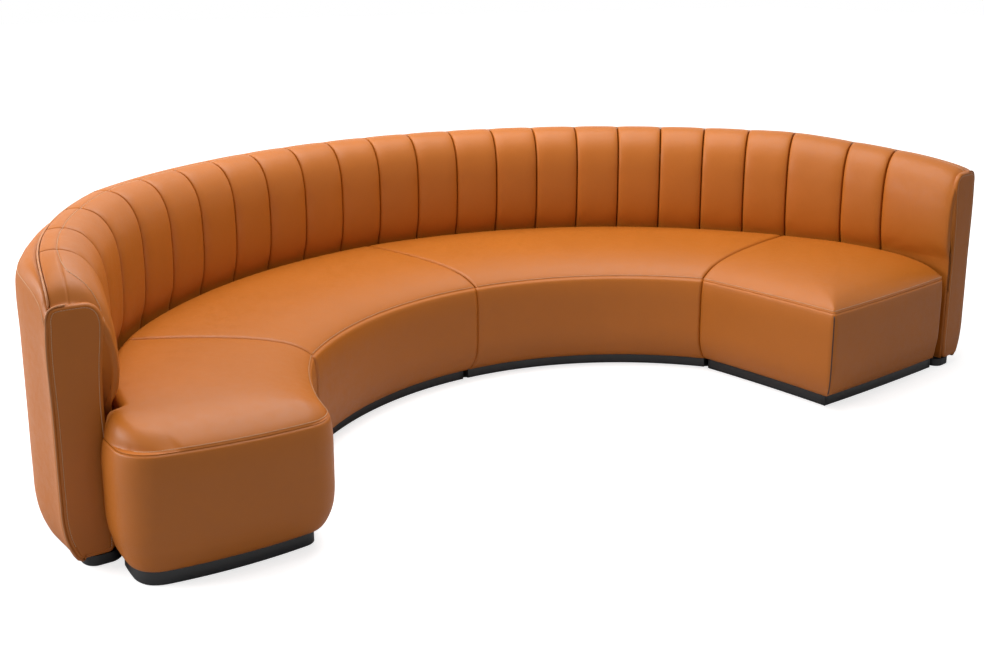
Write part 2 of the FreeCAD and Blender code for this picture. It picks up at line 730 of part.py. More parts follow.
return_panel = end_panel(RETURN_RADIUS, return_end_crest, 1)
right_panel = end_panel(FOOT_RADIUS, right_end_crest, -1)
nodes["back_return_end_panel"] = placed(return_panel, RETURN_CENTRE, RETURN_END)
nodes["back_right_end_panel"] = placed(right_panel, CENTRE, RIGHT_END)
nodes["back_bolts"] = Part.makeCompound([
    placed(bolt(FOOT_RADIUS, height), CENTRE, angle)
    for angle in (RETURN_ANGLE, CENTRE_BREAK, RIGHT_BREAK) for height in BOLT_HEIGHTS])
nodes["back_glides"] = Part.makeCompound([
    back_glide(foot, centre, start + share * (end - start))
    for name, foot, centre, start, end, joints in sections for share in GLIDE_SHARES])

# Seat joints run from a point on the front seam to a point on the foot line
left_joint = (unit(RETURN_ANGLE + LEFT_JOINT_FRONT) * FRONT_RADIUS,
              unit(RETURN_ANGLE + LEFT_JOINT_REAR) * FOOT_RADIUS)
middle_joint = (unit(CENTRE_BREAK + MIDDLE_JOINT_FRONT) * FRONT_RADIUS,
                unit(CENTRE_BREAK + MIDDLE_JOINT_REAR) * FOOT_RADIUS)
right_joint = (unit(RIGHT_BREAK + RIGHT_JOINT_FRONT) * FRONT_RADIUS,
               unit(RIGHT_BREAK + RIGHT_JOINT_REAR) * FOOT_RADIUS)
right_end = (unit(RIGHT_END + RIGHT_END_FRONT) * (FRONT_RADIUS - RIGHT_CORNER_REACH),
             unit(RIGHT_END + RIGHT_END_REAR) * FOOT_RADIUS)
left_corner_radius = RETURN_RADIUS - SEAT_DEPTH + LEFT_CORNER_INSET
left_end = (RETURN_CENTRE + unit(RETURN_END + LEFT_END_FRONT) * left_corner_radius,
            RETURN_CENTRE + unit(RETURN_END + LEFT_END_REAR) * (RETURN_RADIUS + LEFT_END_REACH))
seats = [
    Seat("seat_left_end", (left_joint, left_end), bowed(left_end[0], left_joint[0], LEFT_FRONT_BOW),
         bowed(left_end[0], left_end[1], LEFT_END_BOW), False, LEFT_REAR_ROUNDING),
    Seat("seat_left", (middle_joint, left_joint), (CENTRE, FRONT_RADIUS)),
    Seat("seat_right", (right_joint, middle_joint), (CENTRE, FRONT_RADIUS)),
    Seat("seat_right_end", (right_end, right_joint), bowed(right_joint[0], right_end[0], RIGHT_FRONT_BOW),
         bowed(right_end[1], right_end[0], RIGHT_END_BOW), True, RIGHT_REAR_ROUNDING),
]
# The stretch of foot line behind each seat, as (foot radius, centre, start, end)
left_joint_turn = span(RETURN_CENTRE, [left_joint[1]])[0]
stretches = [
    (RETURN_RADIUS, RETURN_CENTRE, left_joint_turn, RETURN_END),
    (FOOT_RADIUS, CENTRE, CENTRE_BREAK + MIDDLE_JOINT_REAR, RETURN_ANGLE),
    (FOOT_RADIUS, CENTRE, RIGHT_BREAK + RIGHT_JOINT_REAR, CENTRE_BREAK + MIDDLE_JOINT_REAR),
    (FOOT_RADIUS, CENTRE, RIGHT_END, RIGHT_BREAK + RIGHT_JOINT_REAR),
]
receivers = []
for seat, (foot, centre, start, end) in zip(seats, stretches):
    hook_places = [(foot, centre, start + share * (end - start)) for share in HOOK_SHARES]
    build_seat(seat, hook_places)
    receivers += [placed(receiver(foot), *place) for foot, *place in hook_places]
nodes["back_receivers"] = Part.makeCompound(receivers)

# Move the middle of the footprint to the origin and write the nodes
box = FreeCAD.BoundBox()
for shape in nodes.values():
    box.add(shape.optimalBoundingBox(False))
os.makedirs("parts", exist_ok=True)
for name, shape in nodes.items():
    shape.translate(V(-box.Center.x, -box.Center.y, 0))
    shape.exportStep("parts/" + name + ".step")
print("arc centre at", -box.Center.x, -box.Center.y, "size", box.XLength, box.YLength, box.ZMax)
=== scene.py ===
# %% [markdown]
# # A curved sectional sofa in tan leather
# This lesson dresses a finished CAD model. The model is loaded first and stays where it is, and every
# soft piece of the sofa is then built over it: the channelled back, the outer back, four seats, seams
# and stitches. Everything is in metres, with Z up.

# %% Load the CAD frame
import math

import bpy
import numpy as np
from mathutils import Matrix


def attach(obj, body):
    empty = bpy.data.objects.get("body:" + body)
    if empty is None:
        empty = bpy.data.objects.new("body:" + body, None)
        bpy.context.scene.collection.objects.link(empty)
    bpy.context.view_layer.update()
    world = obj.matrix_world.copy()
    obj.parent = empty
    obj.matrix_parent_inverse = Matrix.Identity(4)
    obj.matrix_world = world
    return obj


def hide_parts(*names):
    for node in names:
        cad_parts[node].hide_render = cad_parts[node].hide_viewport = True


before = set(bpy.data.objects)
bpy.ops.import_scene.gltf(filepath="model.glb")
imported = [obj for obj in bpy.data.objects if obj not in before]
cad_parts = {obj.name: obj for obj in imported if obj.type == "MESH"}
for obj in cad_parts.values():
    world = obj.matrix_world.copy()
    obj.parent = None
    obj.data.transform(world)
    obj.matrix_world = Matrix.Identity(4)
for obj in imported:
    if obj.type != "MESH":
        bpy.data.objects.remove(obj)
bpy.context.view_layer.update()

scene = bpy.context.scene
scene.view_settings.view_transform = "Standard"

# %% [markdown]
# ## Camera
# The sofa stands turned by 30 degrees to the camera, which looks slightly down on it from head height.
# The upright lines of the photograph stay nearly upright although the camera looks down, as they do
# when a picture is cropped from a taller one. A small vertical shift of the lens does the same here.

# %% Camera at the angle of the photograph
CAMERA_PLACE = (-1.9808, -3.3108, 1.494)
CAMERA_TILT = 77.80
CAMERA_TURN = -30.0
CAMERA_LENS = 40.71
CAMERA_SHIFT = -0.12

bpy.ops.object.select_all(action="DESELECT")
bpy.ops.object.camera_add(location=CAMERA_PLACE,
                          rotation=(math.radians(CAMERA_TILT), 0, math.radians(CAMERA_TURN)))
camera = bpy.context.object
camera.data.lens = CAMERA_LENS
camera.data.shift_y = CAMERA_SHIFT
scene.camera = camera
print("camera at", CAMERA_PLACE, "lens", CAMERA_LENS)

# %% [markdown]
# ## Plan of the sofa
# The sofa follows two arcs: a long one, and a tighter one that turns in at its left end. Both meet
# smoothly, because the tight arc's centre lies on the line from the main centre to the joint. The line
# where the back stands is called the foot line here, and places are given by the angle along it and
# the distance out from it.

# %% Foot line
ARC_CENTRE = np.array([-0.05041, -0.94955])
FOOT_RADIUS = 1.608
RETURN_RADIUS = 0.950
RETURN_ANGLE = 139.7


def unit(angle):
    """Level direction at an angle in degrees."""
    turn = np.radians(angle)
    return np.stack([np.cos(turn), np.sin(turn)], -1)


RETURN_CENTRE = ARC_CENTRE + unit(RETURN_ANGLE) * (FOOT_RADIUS - RETURN_RADIUS)


def foot_line(angle, out):
    """Plan points at an angle along the foot line and a distance out from it."""
    angle = np.asarray(angle, float)
    on_return = (angle > RETURN_ANGLE)[..., None]
    centre = np.where(on_return, RETURN_CENTRE, ARC_CENTRE)
    radius = np.where(on_return, RETURN_RADIUS, FOOT_RADIUS)
    return centre + unit(angle) * (radius + np.asarray(out)[..., None])


def arc_of(on_return):
    """Centre and radius of the foot line, on the return or else on the main arc."""
    return (RETURN_CENTRE, RETURN_RADIUS) if on_return else (ARC_CENTRE, FOOT_RADIUS)


def direction(way):
    """Directions of length 1."""
    return way / np.linalg.norm(way, axis=-1, keepdims=True)


def bearing(way):
    """Angle of level directions, in degrees."""
    return np.degrees(np.arctan2(way[..., 1], way[..., 0]))


def lift(plan, height):
    """Points in space over plan points."""
    height = np.broadcast_to(np.asarray(height)[..., None], plan.shape[:-1] + (1,))
    return np.concatenate([plan, height], -1)


print("tight arc centre", RETURN_CENTRE)

# %% [markdown]
# ## Bent grids
# Most leather here is one sheet with a known section along a known line. Blender's grid is a good
# start for such a sheet: its flat coordinates run from 0 to 1 both ways, and a formula says where each
# point goes. A smooth line through a few points gives the sections.

# %% Helpers for lines
def lengths(line):
    """Length of a line up to each of its points."""
    return np.r_[0, np.cumsum(np.linalg.norm(np.diff(line, axis=0), axis=1))]


def read_off(values, steps, at):
    """Rows of values that belong to steps, read off at places between them."""
    return np.stack([np.interp(at, steps, column) for column in values.T], -1)


def spline(points, shares):
    """Points at shares of the length of a smooth line through a few points."""
    points = np.asarray(points, float)
    steps = lengths(points)
    slopes = np.gradient(points, steps, axis=0)
    at = np.clip(shares, 0, 1) * steps[-1]
    i = np.clip(np.searchsorted(steps, at, side="right") - 1, 0, len(points) - 2)
    gap = (steps[i + 1] - steps[i])[..., None]
    f = (at - steps[i])[..., None] / gap
    return (points[i] * (1 + 2 * f) * (1 - f) ** 2 + slopes[i] * gap * f * (1 - f) ** 2
            + points[i + 1] * f ** 2 * (3 - 2 * f) + slopes[i + 1] * gap * f ** 2 * (f - 1))


def resample(points, shares):
    """Points at shares of the length of a line of straight runs."""
    steps = lengths(points)
    return read_off(points, steps, np.asarray(shares) * steps[-1])


def even(line, spacing):
    """Points at an even spacing along a line."""
    return resample(line, np.linspace(0, 1, max(int(lengths(line)[-1] / spacing), 2)))


def edge_spaced(count):
    """Shares from 0 to 1 that crowd towards both ends."""
    return 0.5 - 0.5 * np.cos(np.pi * np.linspace(0, 1, count + 1))


print("shares that crowd to both ends:", edge_spaced(4).round(3))

# %% Helpers for bent sheets
MERGE_DISTANCE = 1e-5


def pick(piece):
    """Select one piece alone and make it active."""
    bpy.ops.object.select_all(action="DESELECT")
    piece.select_set(True)
    bpy.context.view_layer.objects.active = piece


def place(piece, points):
    """Move every vertex of a piece."""
    piece.data.vertices.foreach_set("co", np.asarray(points, np.float32).ravel())
    piece.data.update()


def points_of(piece):
    """All vertices of a piece."""
    flat = np.empty(len(piece.data.vertices) * 3)
    piece.data.vertices.foreach_get("co", flat)
    return flat.reshape(-1, 3)


def bent_grid(name, columns, rows, form, held=None):
    """Grid of columns and rows bent into place by a formula. Held points are kept for the stuffing."""
    bpy.ops.object.select_all(action="DESELECT")
    bpy.ops.mesh.primitive_grid_add(x_subdivisions=columns - 1, y_subdivisions=rows - 1,
                                    size=1, location=(0.5, 0.5, 0))
    bpy.ops.object.transform_apply(location=True)
    piece = bpy.context.object
    piece.name = name
    i, j = np.rint(points_of(piece)[:, :2] * (columns - 1, rows - 1)).astype(int).T
    place(piece, form(i, j))
    if held is not None:
        group = piece.vertex_groups.new(name="held")
        group.add(np.flatnonzero(held(i, j)).tolist(), 1.0, "REPLACE")
    return piece


def ring_grid(name, rings):
    """Closed rings of points, one above the other, as a piece with filled ends."""
    rings = np.concatenate([rings, rings[:, :1]], 1)
    piece = bent_grid(name, rings.shape[1], rings.shape[0], lambda i, j: rings[j, i])
    close_up(piece, fill=True)
    return piece


def close_up(piece, fill=False):
    """Merge what meets, fill open ends if asked to, and turn the faces outwards."""
    bpy.context.view_layer.objects.active = piece
    bpy.ops.object.mode_set(mode="EDIT")
    bpy.ops.mesh.select_all(action="SELECT")
    bpy.ops.mesh.remove_doubles(threshold=MERGE_DISTANCE)
    if fill:
        bpy.ops.mesh.fill_holes(sides=0)
        bpy.ops.mesh.select_all(action="SELECT")
    bpy.ops.mesh.normals_make_consistent(inside=False)
    bpy.ops.object.mode_set(mode="OBJECT")
    bpy.ops.object.shade_smooth()


def apply_modifier(piece, kind, **settings):
    """Add a modifier with its settings and apply it."""
    pick(piece)
    modifier = piece.modifiers.new(kind.title(), kind)
    for key, value in settings.items():
        setattr(modifier, key, value)
    bpy.ops.object.modifier_apply(modifier=modifier.name)


def subdivide_smooth(piece):
    """Round a piece by one subdivision and close its open ends."""
    apply_modifier(piece, "SUBSURF", levels=1, render_levels=1, use_limit_surface=False)
    close_up(piece, fill=True)


def join(name, pieces):
    """One piece made of several."""
    pick(pieces[0])
    for piece in pieces:
        piece.select_set(True)
    bpy.ops.object.join()
    pieces[0].name = name
    return pieces[0]


print("points closer than", 1000 * MERGE_DISTANCE, "mm are merged")

# %% [markdown]
# ## Leather
# The leather is smooth, taut and satin, so its grain is fine and shallow. The shared group gives a
# slow drift of colour, small pores and creases for the bump, and a little unevenness of the gloss.
# The shader itself stays in the material.

# %% Helpers for shader nodes
def add_node(tree, kind, inputs=(), **settings):
    """New shader node. An input gets a value, or a link where another node's socket is given."""
    node = tree.nodes.new("ShaderNode" + kind)
    for key, value in settings.items():
        setattr(node, key, value)
    for socket, value in dict(inputs).items():
        if isinstance(value, bpy.types.NodeSocket):
            tree.links.new(value, node.inputs[socket])
        else:
            node.inputs[socket].default_value = value
    return node


def new_group(name, inputs, outputs):
    """Node group with number sockets: the group, what goes into it and what it puts out."""
    group = bpy.data.node_groups.new(name, "ShaderNodeTree")
    for names, way in ((inputs, "INPUT"), (outputs, "OUTPUT")):
        for socket in names:
            group.interface.new_socket(socket, in_out=way, socket_type="NodeSocketFloat")
    return group, group.nodes.new("NodeGroupInput").outputs, group.nodes.new("NodeGroupOutput").inputs


# %% Leather grain group
def grain_group():
    """Node group with the drift of colour, gloss and relief of leather."""
    group, given, result = new_group("leather grain", ("Pore size", "Drift"), ("Shade", "Gloss", "Relief"))
    spot = add_node(group, "TexCoord").outputs["Object"]
    drift = add_node(group, "TexNoise", {"Vector": spot, "Scale": 3.5, "Detail": 3})
    mottle = add_node(group, "TexNoise", {"Vector": spot, "Scale": 45, "Detail": 4})
    pores = add_node(group, "TexVoronoi", {"Vector": spot, "Scale": given["Pore size"]},
                     feature="DISTANCE_TO_EDGE")
    creases = add_node(group, "TexNoise", {"Vector": spot, "Scale": given["Pore size"], "Detail": 5})
    centred = add_node(group, "Math", {0: drift.outputs["Fac"], 1: 0.5}, operation="SUBTRACT")
    small = add_node(group, "Math", {0: mottle.outputs["Fac"], 1: 0.35, 2: centred.outputs[0]},
                     operation="MULTIPLY_ADD")
    shade = add_node(group, "Math", {0: small.outputs[0], 1: given["Drift"], 2: 0.93},
                     operation="MULTIPLY_ADD")
    gloss = add_node(group, "MapRange", {"Value": mottle.outputs["Fac"], "From Min": 0.3, "From Max": 0.7,
                                         "To Min": 0.40, "To Max": 0.50})
    rim = add_node(group, "MapRange", {"Value": pores.outputs["Distance"], "From Max": 0.25})
    relief = add_node(group, "Math", {0: creases.outputs["Fac"], 1: 0.6, 2: rim.outputs["Result"]},
                      operation="MULTIPLY_ADD")
    group.links.new(shade.outputs[0], result["Shade"])
    group.links.new(gloss.outputs["Result"], result["Gloss"])
    group.links.new(relief.outputs[0], result["Relief"])
    return group


GRAIN = grain_group()
print(GRAIN.name, "has", len(GRAIN.nodes), "nodes")

# %% Leather materials
RELIEF_DEPTH = 0.0004


def grained(name, colour, pore_size, drift, bump, **shader_values):
    """Material whose colour, gloss and relief come from the grain group."""
    material = bpy.data.materials.new(name)
    material.use_nodes = True
    tree = material.node_tree
    shader = tree.nodes["Principled BSDF"]
    grain = add_node(tree, "Group", {"Pore size": pore_size, "Drift": drift}, node_tree=GRAIN)
    tint = add_node(tree, "Mix", {"Factor": 1, "A": (*colour, 1), "B": grain.outputs["Shade"]},
                    data_type="RGBA", blend_type="MULTIPLY")
    relief = add_node(tree, "Bump", {"Strength": bump, "Distance": RELIEF_DEPTH,
                                     "Height": grain.outputs["Relief"]})
    tree.links.new(tint.outputs["Result"], shader.inputs["Base Color"])
    tree.links.new(grain.outputs["Gloss"], shader.inputs["Roughness"])
    tree.links.new(relief.outputs["Normal"], shader.inputs["Normal"])
    for socket, value in shader_values.items():
        shader.inputs[socket].default_value = value
    return material


LEATHER_COLOUR = (0.46, 0.131, 0.0105)
LEATHER = grained("tan leather", LEATHER_COLOUR, pore_size=420, drift=0.16, bump=0.22,
                  **{"Specular IOR Level": 0.36})
THREAD = grained("seam thread", (0.62, 0.42, 0.26), pore_size=900, drift=0.2, bump=0.3)
WELT = grained("leather piping", (0.52, 0.21, 0.075), pore_size=420, drift=0.12, bump=0.2)
print("materials:", LEATHER.name, THREAD.name, WELT.name)


def dress(piece, material, body, nodes=()):
    """Give a piece its material and the body it moves with, and hide the CAD nodes it stands for."""
    piece.data.materials.clear()
    piece.data.materials.append(material)
    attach(piece, body)
    if nodes:
        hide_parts(*nodes)
    print(piece.name, "has", len(piece.data.polygons), "faces")


# %% [markdown]
# ## Stuffing
# A sewn pad is held along its seams and pushed out everywhere else by the foam inside. Cloth with a
# little pressure does just that: the seams are pinned, the sheet swells for a few frames, and a limit
# keeps the foam from growing more than real foam would. On a wide pad the swelling is then evened out
# between neighbours, which takes away dents.

# %% Swell a pad by cloth simulation
SWELL_FRAMES = 20
SWELL_LIMIT = 0.003
CLOTH_SETTINGS = {
    "vertex_group_mass": "held", "use_pressure": True, "quality": 5, "tension_stiffness": 40,
    "compression_stiffness": 40, "bending_stiffness": 5,
}
UNMOVED = 1e-6


def evened(piece, move, rounds):
    """Movement of a piece's points, evened out along its edges. Points that were held stay."""
    ends = np.empty(2 * len(piece.data.edges), int)
    piece.data.edges.foreach_get("vertices", ends)
    one, other = ends.reshape(-1, 2).T
    neighbours = np.bincount(ends, minlength=len(move))[:, None]
    held = np.linalg.norm(move, axis=1)[:, None] < UNMOVED
    for _ in range(rounds):
        total = np.zeros_like(move)
        np.add.at(total, one, move[other])
        np.add.at(total, other, move[one])
        move = np.where(held, 0, (move + total / neighbours) / 2)
    return move


def stuff(piece, pressure, rounds=0):
    """Swell a piece by cloth under pressure, pinned where it is held and kept within a limit."""
    before = points_of(piece)
    cloth = piece.modifiers.new("Stuffing", "CLOTH")
    for key, value in CLOTH_SETTINGS.items():
        setattr(cloth.settings, key, value)
    cloth.settings.uniform_pressure_force = pressure
    cloth.settings.effector_weights.gravity = 0
    cloth.point_cache.frame_start = 1
    cloth.point_cache.frame_end = SWELL_FRAMES
    for number in range(1, SWELL_FRAMES + 1):
        scene.frame_set(number)
    pick(piece)
    bpy.ops.object.modifier_apply(modifier=cloth.name)
    scene.frame_set(1)
    move = points_of(piece) - before
    length = np.linalg.norm(move, axis=1)
    move = move * np.minimum(1, SWELL_LIMIT / np.maximum(length, UNMOVED))[:, None]
    place(piece, before + evened(piece, move, rounds))
    piece.vertex_groups.clear()
    print(piece.name, "swelled by", round(1000 * float(length.max()), 1), "mm, kept to", 1000 * SWELL_LIMIT)


# %% [markdown]
# ## Channelled back
# The back is sewn into upright channels. Each one is a long cushion that rises from behind the seat,
# rolls over the top and ends in the welt of the outer back. Its section is the line of the seams, and
# the crown stands out from that line between two seams, flat in the middle and turning steeply into
# them. One pad of the long arc is made and copied round it, and the pads of both ends are made singly,
# because their tops fall.

# %% Sections of the back
# Channels of each section, and their widths in degrees along the foot line
CENTRE_LEFT_CHANNELS = 7
CENTRE_RIGHT_CHANNELS = 10
RETURN_CHANNELS = 4
CHANNEL_PITCH = 6.236
RETURN_PITCH = 10.55
RIGHT_WIDTHS = (8.0, 5.8, 9.3)
CENTRE_BREAK = RETURN_ANGLE - CENTRE_LEFT_CHANNELS * CHANNEL_PITCH
RIGHT_BREAK = CENTRE_BREAK - CENTRE_RIGHT_CHANNELS * CHANNEL_PITCH
RIGHT_SEAMS = [RIGHT_BREAK - sum(RIGHT_WIDTHS[:i]) for i in range(len(RIGHT_WIDTHS) + 1)]
RETURN_SEAMS = [RETURN_ANGLE + RETURN_PITCH * i for i in range(RETURN_CHANNELS + 1)]
BACK_HEIGHT = 0.843
RIGHT_FALL = 0.060
RETURN_FALL = 0.055
RIGHT_SHOULDER = 0.024
RETURN_SHOULDER = 0.080
SECTIONS = {
    "return": RETURN_SEAMS,
    "centre_left": [RETURN_ANGLE - CHANNEL_PITCH * i for i in range(CENTRE_LEFT_CHANNELS + 1)],
    "centre_right": [CENTRE_BREAK - CHANNEL_PITCH * i for i in range(CENTRE_RIGHT_CHANNELS + 1)],
    "right": RIGHT_SEAMS,
}
# Between these heights the back takes on the fall of its top
FALL_START = 0.430
FALL_END = 0.715


def through(value, start, end):
    """How far a value has come from a start to an end, from 0 to 1."""
    return np.clip((value - start) / (end - start), 0, 1)


def crest_drop(angle):
    """How far the top of the back lies below its highest line."""
    drop = 0
    for seams, fall, shoulder in ((RIGHT_SEAMS, RIGHT_FALL, RIGHT_SHOULDER),
                                  (RETURN_SEAMS, RETURN_FALL, RETURN_SHOULDER)):
        last = through(angle, seams[-2], seams[-1])
        drop = drop + fall * through(angle, seams[0], seams[-1]) + shoulder * (1 - np.sqrt(1 - last ** 2))
    return drop


def settle(height, angle):
    """Height on the back where its top has dropped. The foot of the back stays."""
    return height - through(height, FALL_START, FALL_END) * crest_drop(angle)


print({name: len(seams) - 1 for name, seams in SECTIONS.items()})

# %% Section of a channel pad
# Distance out, height, and crown of a pad, from its foot over the top to the welt
PAD_LINE = [
    (0.004, 0.300, 0.004), (0.003, 0.380, 0.009), (0.000, 0.430, 0.012), (-0.016, 0.490, 0.014),
    (-0.023, 0.560, 0.014), (-0.023, 0.640, 0.014), (-0.018, 0.715, 0.014), (-0.008, 0.757, 0.014),
    (0.008, 0.790, 0.013), (0.030, 0.815, 0.012), (0.055, 0.829, 0.010), (0.075, 0.8345, 0.008),
    (0.098, 0.836, 0.004), (0.120, 0.832, 0.002),
]
PAD_INSIDE = [(0.120, 0.832), (0.118, 0.800), (0.048, 0.726), (0.047, 0.300), (0.004, 0.300)]
PAD_ROWS = 66
INSIDE_ROWS = 14
CREST_SEAM_OUT = 0.075
CREST_SEAM_DEPTH = 0.0022
CREST_SEAM_WIDTH = 0.0028
# Rows are added at these distances from the crest seam, in metres
CREST_ROWS = np.array([-9, -6, -4, -2.5, -1.2, 0, 1.2, 2.5, 4, 6, 9]) / 1000
CREST_ABOVE = 0.8
FINE_STEPS = 4000
SLOPE_STEP = 1e-3


def pad_section():
    """Rows of a pad's closed section: line, crown, direction of the crown and depth of the crest seam."""
    shares = np.linspace(0, 1, PAD_ROWS)
    steps = np.linspace(0, 1, FINE_STEPS)
    fine = spline(PAD_LINE, steps)
    crest = steps[np.argmin(np.abs(fine[:, 0] - CREST_SEAM_OUT) + (fine[:, 1] < CREST_ABOVE))]
    length = lengths(fine[:, :2])[-1]
    shares = np.unique(np.r_[shares, crest + CREST_ROWS / length])
    front = spline(PAD_LINE, shares)
    ahead = spline(PAD_LINE, shares + SLOPE_STEP) - spline(PAD_LINE, shares - SLOPE_STEP)
    ahead = direction(ahead[:, :2])
    outward = np.stack([-ahead[:, 1], ahead[:, 0]], -1)
    groove = CREST_SEAM_DEPTH * np.exp(-(((shares - crest) * length) / CREST_SEAM_WIDTH) ** 2)
    inside = resample(np.array(PAD_INSIDE), np.linspace(0, 1, INSIDE_ROWS + 1))[1:]
    hidden = np.zeros((INSIDE_ROWS, 1))
    return (np.r_[front[:, :2], inside], np.r_[front[:, 2:], hidden],
            np.r_[outward, np.zeros((INSIDE_ROWS, 2))], np.r_[groove[:, None], hidden])


PAD_SECTION, PAD_CROWN, PAD_OUTWARD, PAD_GROOVE = pad_section()
CREST_ROW = int(np.argmax(PAD_GROOVE))
PAD_LAST = len(PAD_SECTION) - INSIDE_ROWS - 2
print("pad section has", len(PAD_SECTION), "rows, crest seam in row", CREST_ROW)

# %% One channel pad
PAD_COLUMNS = edge_spaced(22)
SEAM_GAP = 0.0014
PANEL_OVERLAP = 0.0125
SEAM_TUCK = 0.014
AT_SEAM = 0.9999
CROWN_FLATNESS = 4
CROWN_TURN = 0.42
PAD_PRESSURE = 2.0
# Columns at each side, rows at the foot and rows round the crest seam that the stuffing doesn't move
HELD_COLUMNS = 2
HELD_FOOT = 4
HELD_CREST = 3


def channel_points(start, end, column_share, row):
    """Points of a channel pad between two seams."""
    x = np.clip(np.abs(2 * column_share - 1), 0, 1)
    crown = (1 - x ** CROWN_FLATNESS) ** CROWN_TURN
    line = PAD_SECTION[row] + PAD_OUTWARD[row] * (PAD_CROWN[row] * crown[:, None] - PAD_GROOVE[row])
    centre, radius = arc_of(start + end > 2 * RETURN_ANGLE)
    gap = math.copysign(math.degrees(SEAM_GAP / radius), end - start)
    at_panel = end in (RETURN_SEAMS[-1], RIGHT_SEAMS[-1])
    past = math.copysign(math.degrees(PANEL_OVERLAP / radius), end - start) if at_panel else -gap
    angle = start + gap + column_share * (end + past - start - gap)
    at_seam = (x > AT_SEAM)[:, None]
    line = line - at_seam * PAD_OUTWARD[row] * SEAM_TUCK
    plan = centre + unit(angle) * (radius + line[:, :1])
    return lift(plan, settle(line[:, 1], angle))


def channel_pad(name, start, end):
    """One stuffed channel pad."""
    columns, rows = len(PAD_COLUMNS), len(PAD_SECTION)
    pad = bent_grid(
        name, columns, rows, lambda i, j: channel_points(start, end, PAD_COLUMNS[i], j),
        lambda i, j: ((np.minimum(i, columns - 1 - i) < HELD_COLUMNS) | (j >= PAD_LAST) | (j < HELD_FOOT)
                      | (np.abs(j - CREST_ROW) < HELD_CREST)))
    close_up(pad)
    stuff(pad, PAD_PRESSURE)
    subdivide_smooth(pad)
    return pad


CENTRE_PAD = channel_pad("centre channel", RETURN_ANGLE, RETURN_ANGLE - CHANNEL_PITCH)

# %% All channels of the four sections
def turned_copy(piece, angle):
    """Copy of a piece turned round the main arc, with its place in its mesh."""
    pick(piece)
    bpy.ops.object.duplicate()
    copy = bpy.context.object
    x, y, z = (points_of(copy) - (*ARC_CENTRE, 0)).T
    cos, sin = unit(angle)
    place(copy, np.stack([x * cos - y * sin, x * sin + y * cos, z], -1) + (*ARC_CENTRE, 0))
    return copy


def section_pads(name, seams):
    """All channel pads of one section as one piece."""
    if name.startswith("centre"):
        pads = [turned_copy(CENTRE_PAD, seam - RETURN_ANGLE) for seam in seams[:-1]]
    else:
        pads = [channel_pad("channel", start, end) for start, end in zip(seams, seams[1:])]
    return join("back_" + name + "_pads", pads)


for name, seams in SECTIONS.items():
    pads = section_pads(name, seams)
    dress(pads, LEATHER, "back", nodes=["back_" + name + "_channels"])
bpy.data.objects.remove(CENTRE_PAD)

# %% [markdown]
# ## Outer back
# Behind the welt the back is one smooth sheet of leather, pulled down and rolled under to the plinth.
# Its section is drawn once and run along each section of the back, and Solidify gives it the thickness
# of leather on its backing. On the return it swells out before it turns in to the end panel.

# %% Outer back sheets
OUTER_LINE = [
    (0.1225, 0.828), (0.1265, 0.8245), (0.1315, 0.811), (0.1355, 0.790), (0.138, 0.760), (0.138, 0.600),
    (0.138, 0.400), (0.138, 0.200), (0.137, 0.140), (0.131, 0.103), (0.119, 0.071), (0.106, 0.050),
    (0.096, 0.0425), (0.0915, 0.045), (0.091, 0.056),
]
OUTER_ROWS = 60
SEAM_COLUMNS = 12
OUTER_SHOULDER = (0.828, 0.760)
RETURN_SWELL = 0.042
SWELL_PEAK = 0.72
LEATHER_BACKING = 0.004
HEM = 0.0425
HEM_DROP = 0.018
HEM_REACH = 0.10
EDGE_REACH = 0.06


def hemmed(height):
    """Heights of the outer leather, let down towards its hem."""
    return height - HEM_DROP * through(height, HEM + HEM_REACH, HEM)


def return_swell(angle, height):
    """How far the outer back of the return stands out, from nothing at the welt to all below it."""
    share = through(angle, RETURN_ANGLE, RETURN_SEAMS[-1])
    rise = np.minimum(share / SWELL_PEAK, (1 - share) / (1 - SWELL_PEAK))
    down = through(height, *OUTER_SHOULDER)
    return RETURN_SWELL * rise ** 2 * (3 - 2 * rise) * np.sqrt(1 - (1 - down) ** 2)


# At an end panel the sheet runs on by these distances and turns in by these
OUTER_PAST = np.array([0.004, 0.007, 0.0095, 0.0115, 0.0128, 0.0135])
OUTER_TURN = np.array([0.0000, 0.0002, 0.0010, 0.0025, 0.0045, 0.0075])


def outer_points(on_return, angle, turned_in, row):
    """Points of the outer back at an angle, turned in by a distance."""
    out, height = spline(OUTER_LINE, np.linspace(0, 1, OUTER_ROWS))[row].T
    centre, radius = arc_of(on_return)
    out = out + return_swell(angle, height) - turned_in
    near_top = through(height, OUTER_SHOULDER[1], OUTER_SHOULDER[1] + EDGE_REACH)
    near_hem = through(height, HEM + EDGE_REACH, HEM)
    height = settle(hemmed(height), angle) - turned_in * (near_top - near_hem)
    return lift(centre + unit(angle) * (radius + out[:, None]), height)


for name, seams in SECTIONS.items():
    angles = np.linspace(seams[0], seams[-1], SEAM_COLUMNS * len(seams))
    turned_in = np.zeros(len(angles))
    inwards = 1 if seams[-1] > seams[0] else -1
    if name in ("return", "right"):
        past = np.degrees(OUTER_PAST / arc_of(name == "return")[1])
        angles = np.r_[angles, seams[-1] + inwards * past]
        turned_in = np.r_[turned_in, OUTER_TURN]
    sheet = bent_grid("back_" + name + "_cover", len(angles), OUTER_ROWS,
                      lambda i, j: outer_points(name == "return", angles[i], turned_in[i], j))
    apply_modifier(sheet, "SOLIDIFY", thickness=LEATHER_BACKING, offset=inwards)
    close_up(sheet)
    dress(sheet, LEATHER, "back", nodes=["back_" + name + "_outer"])

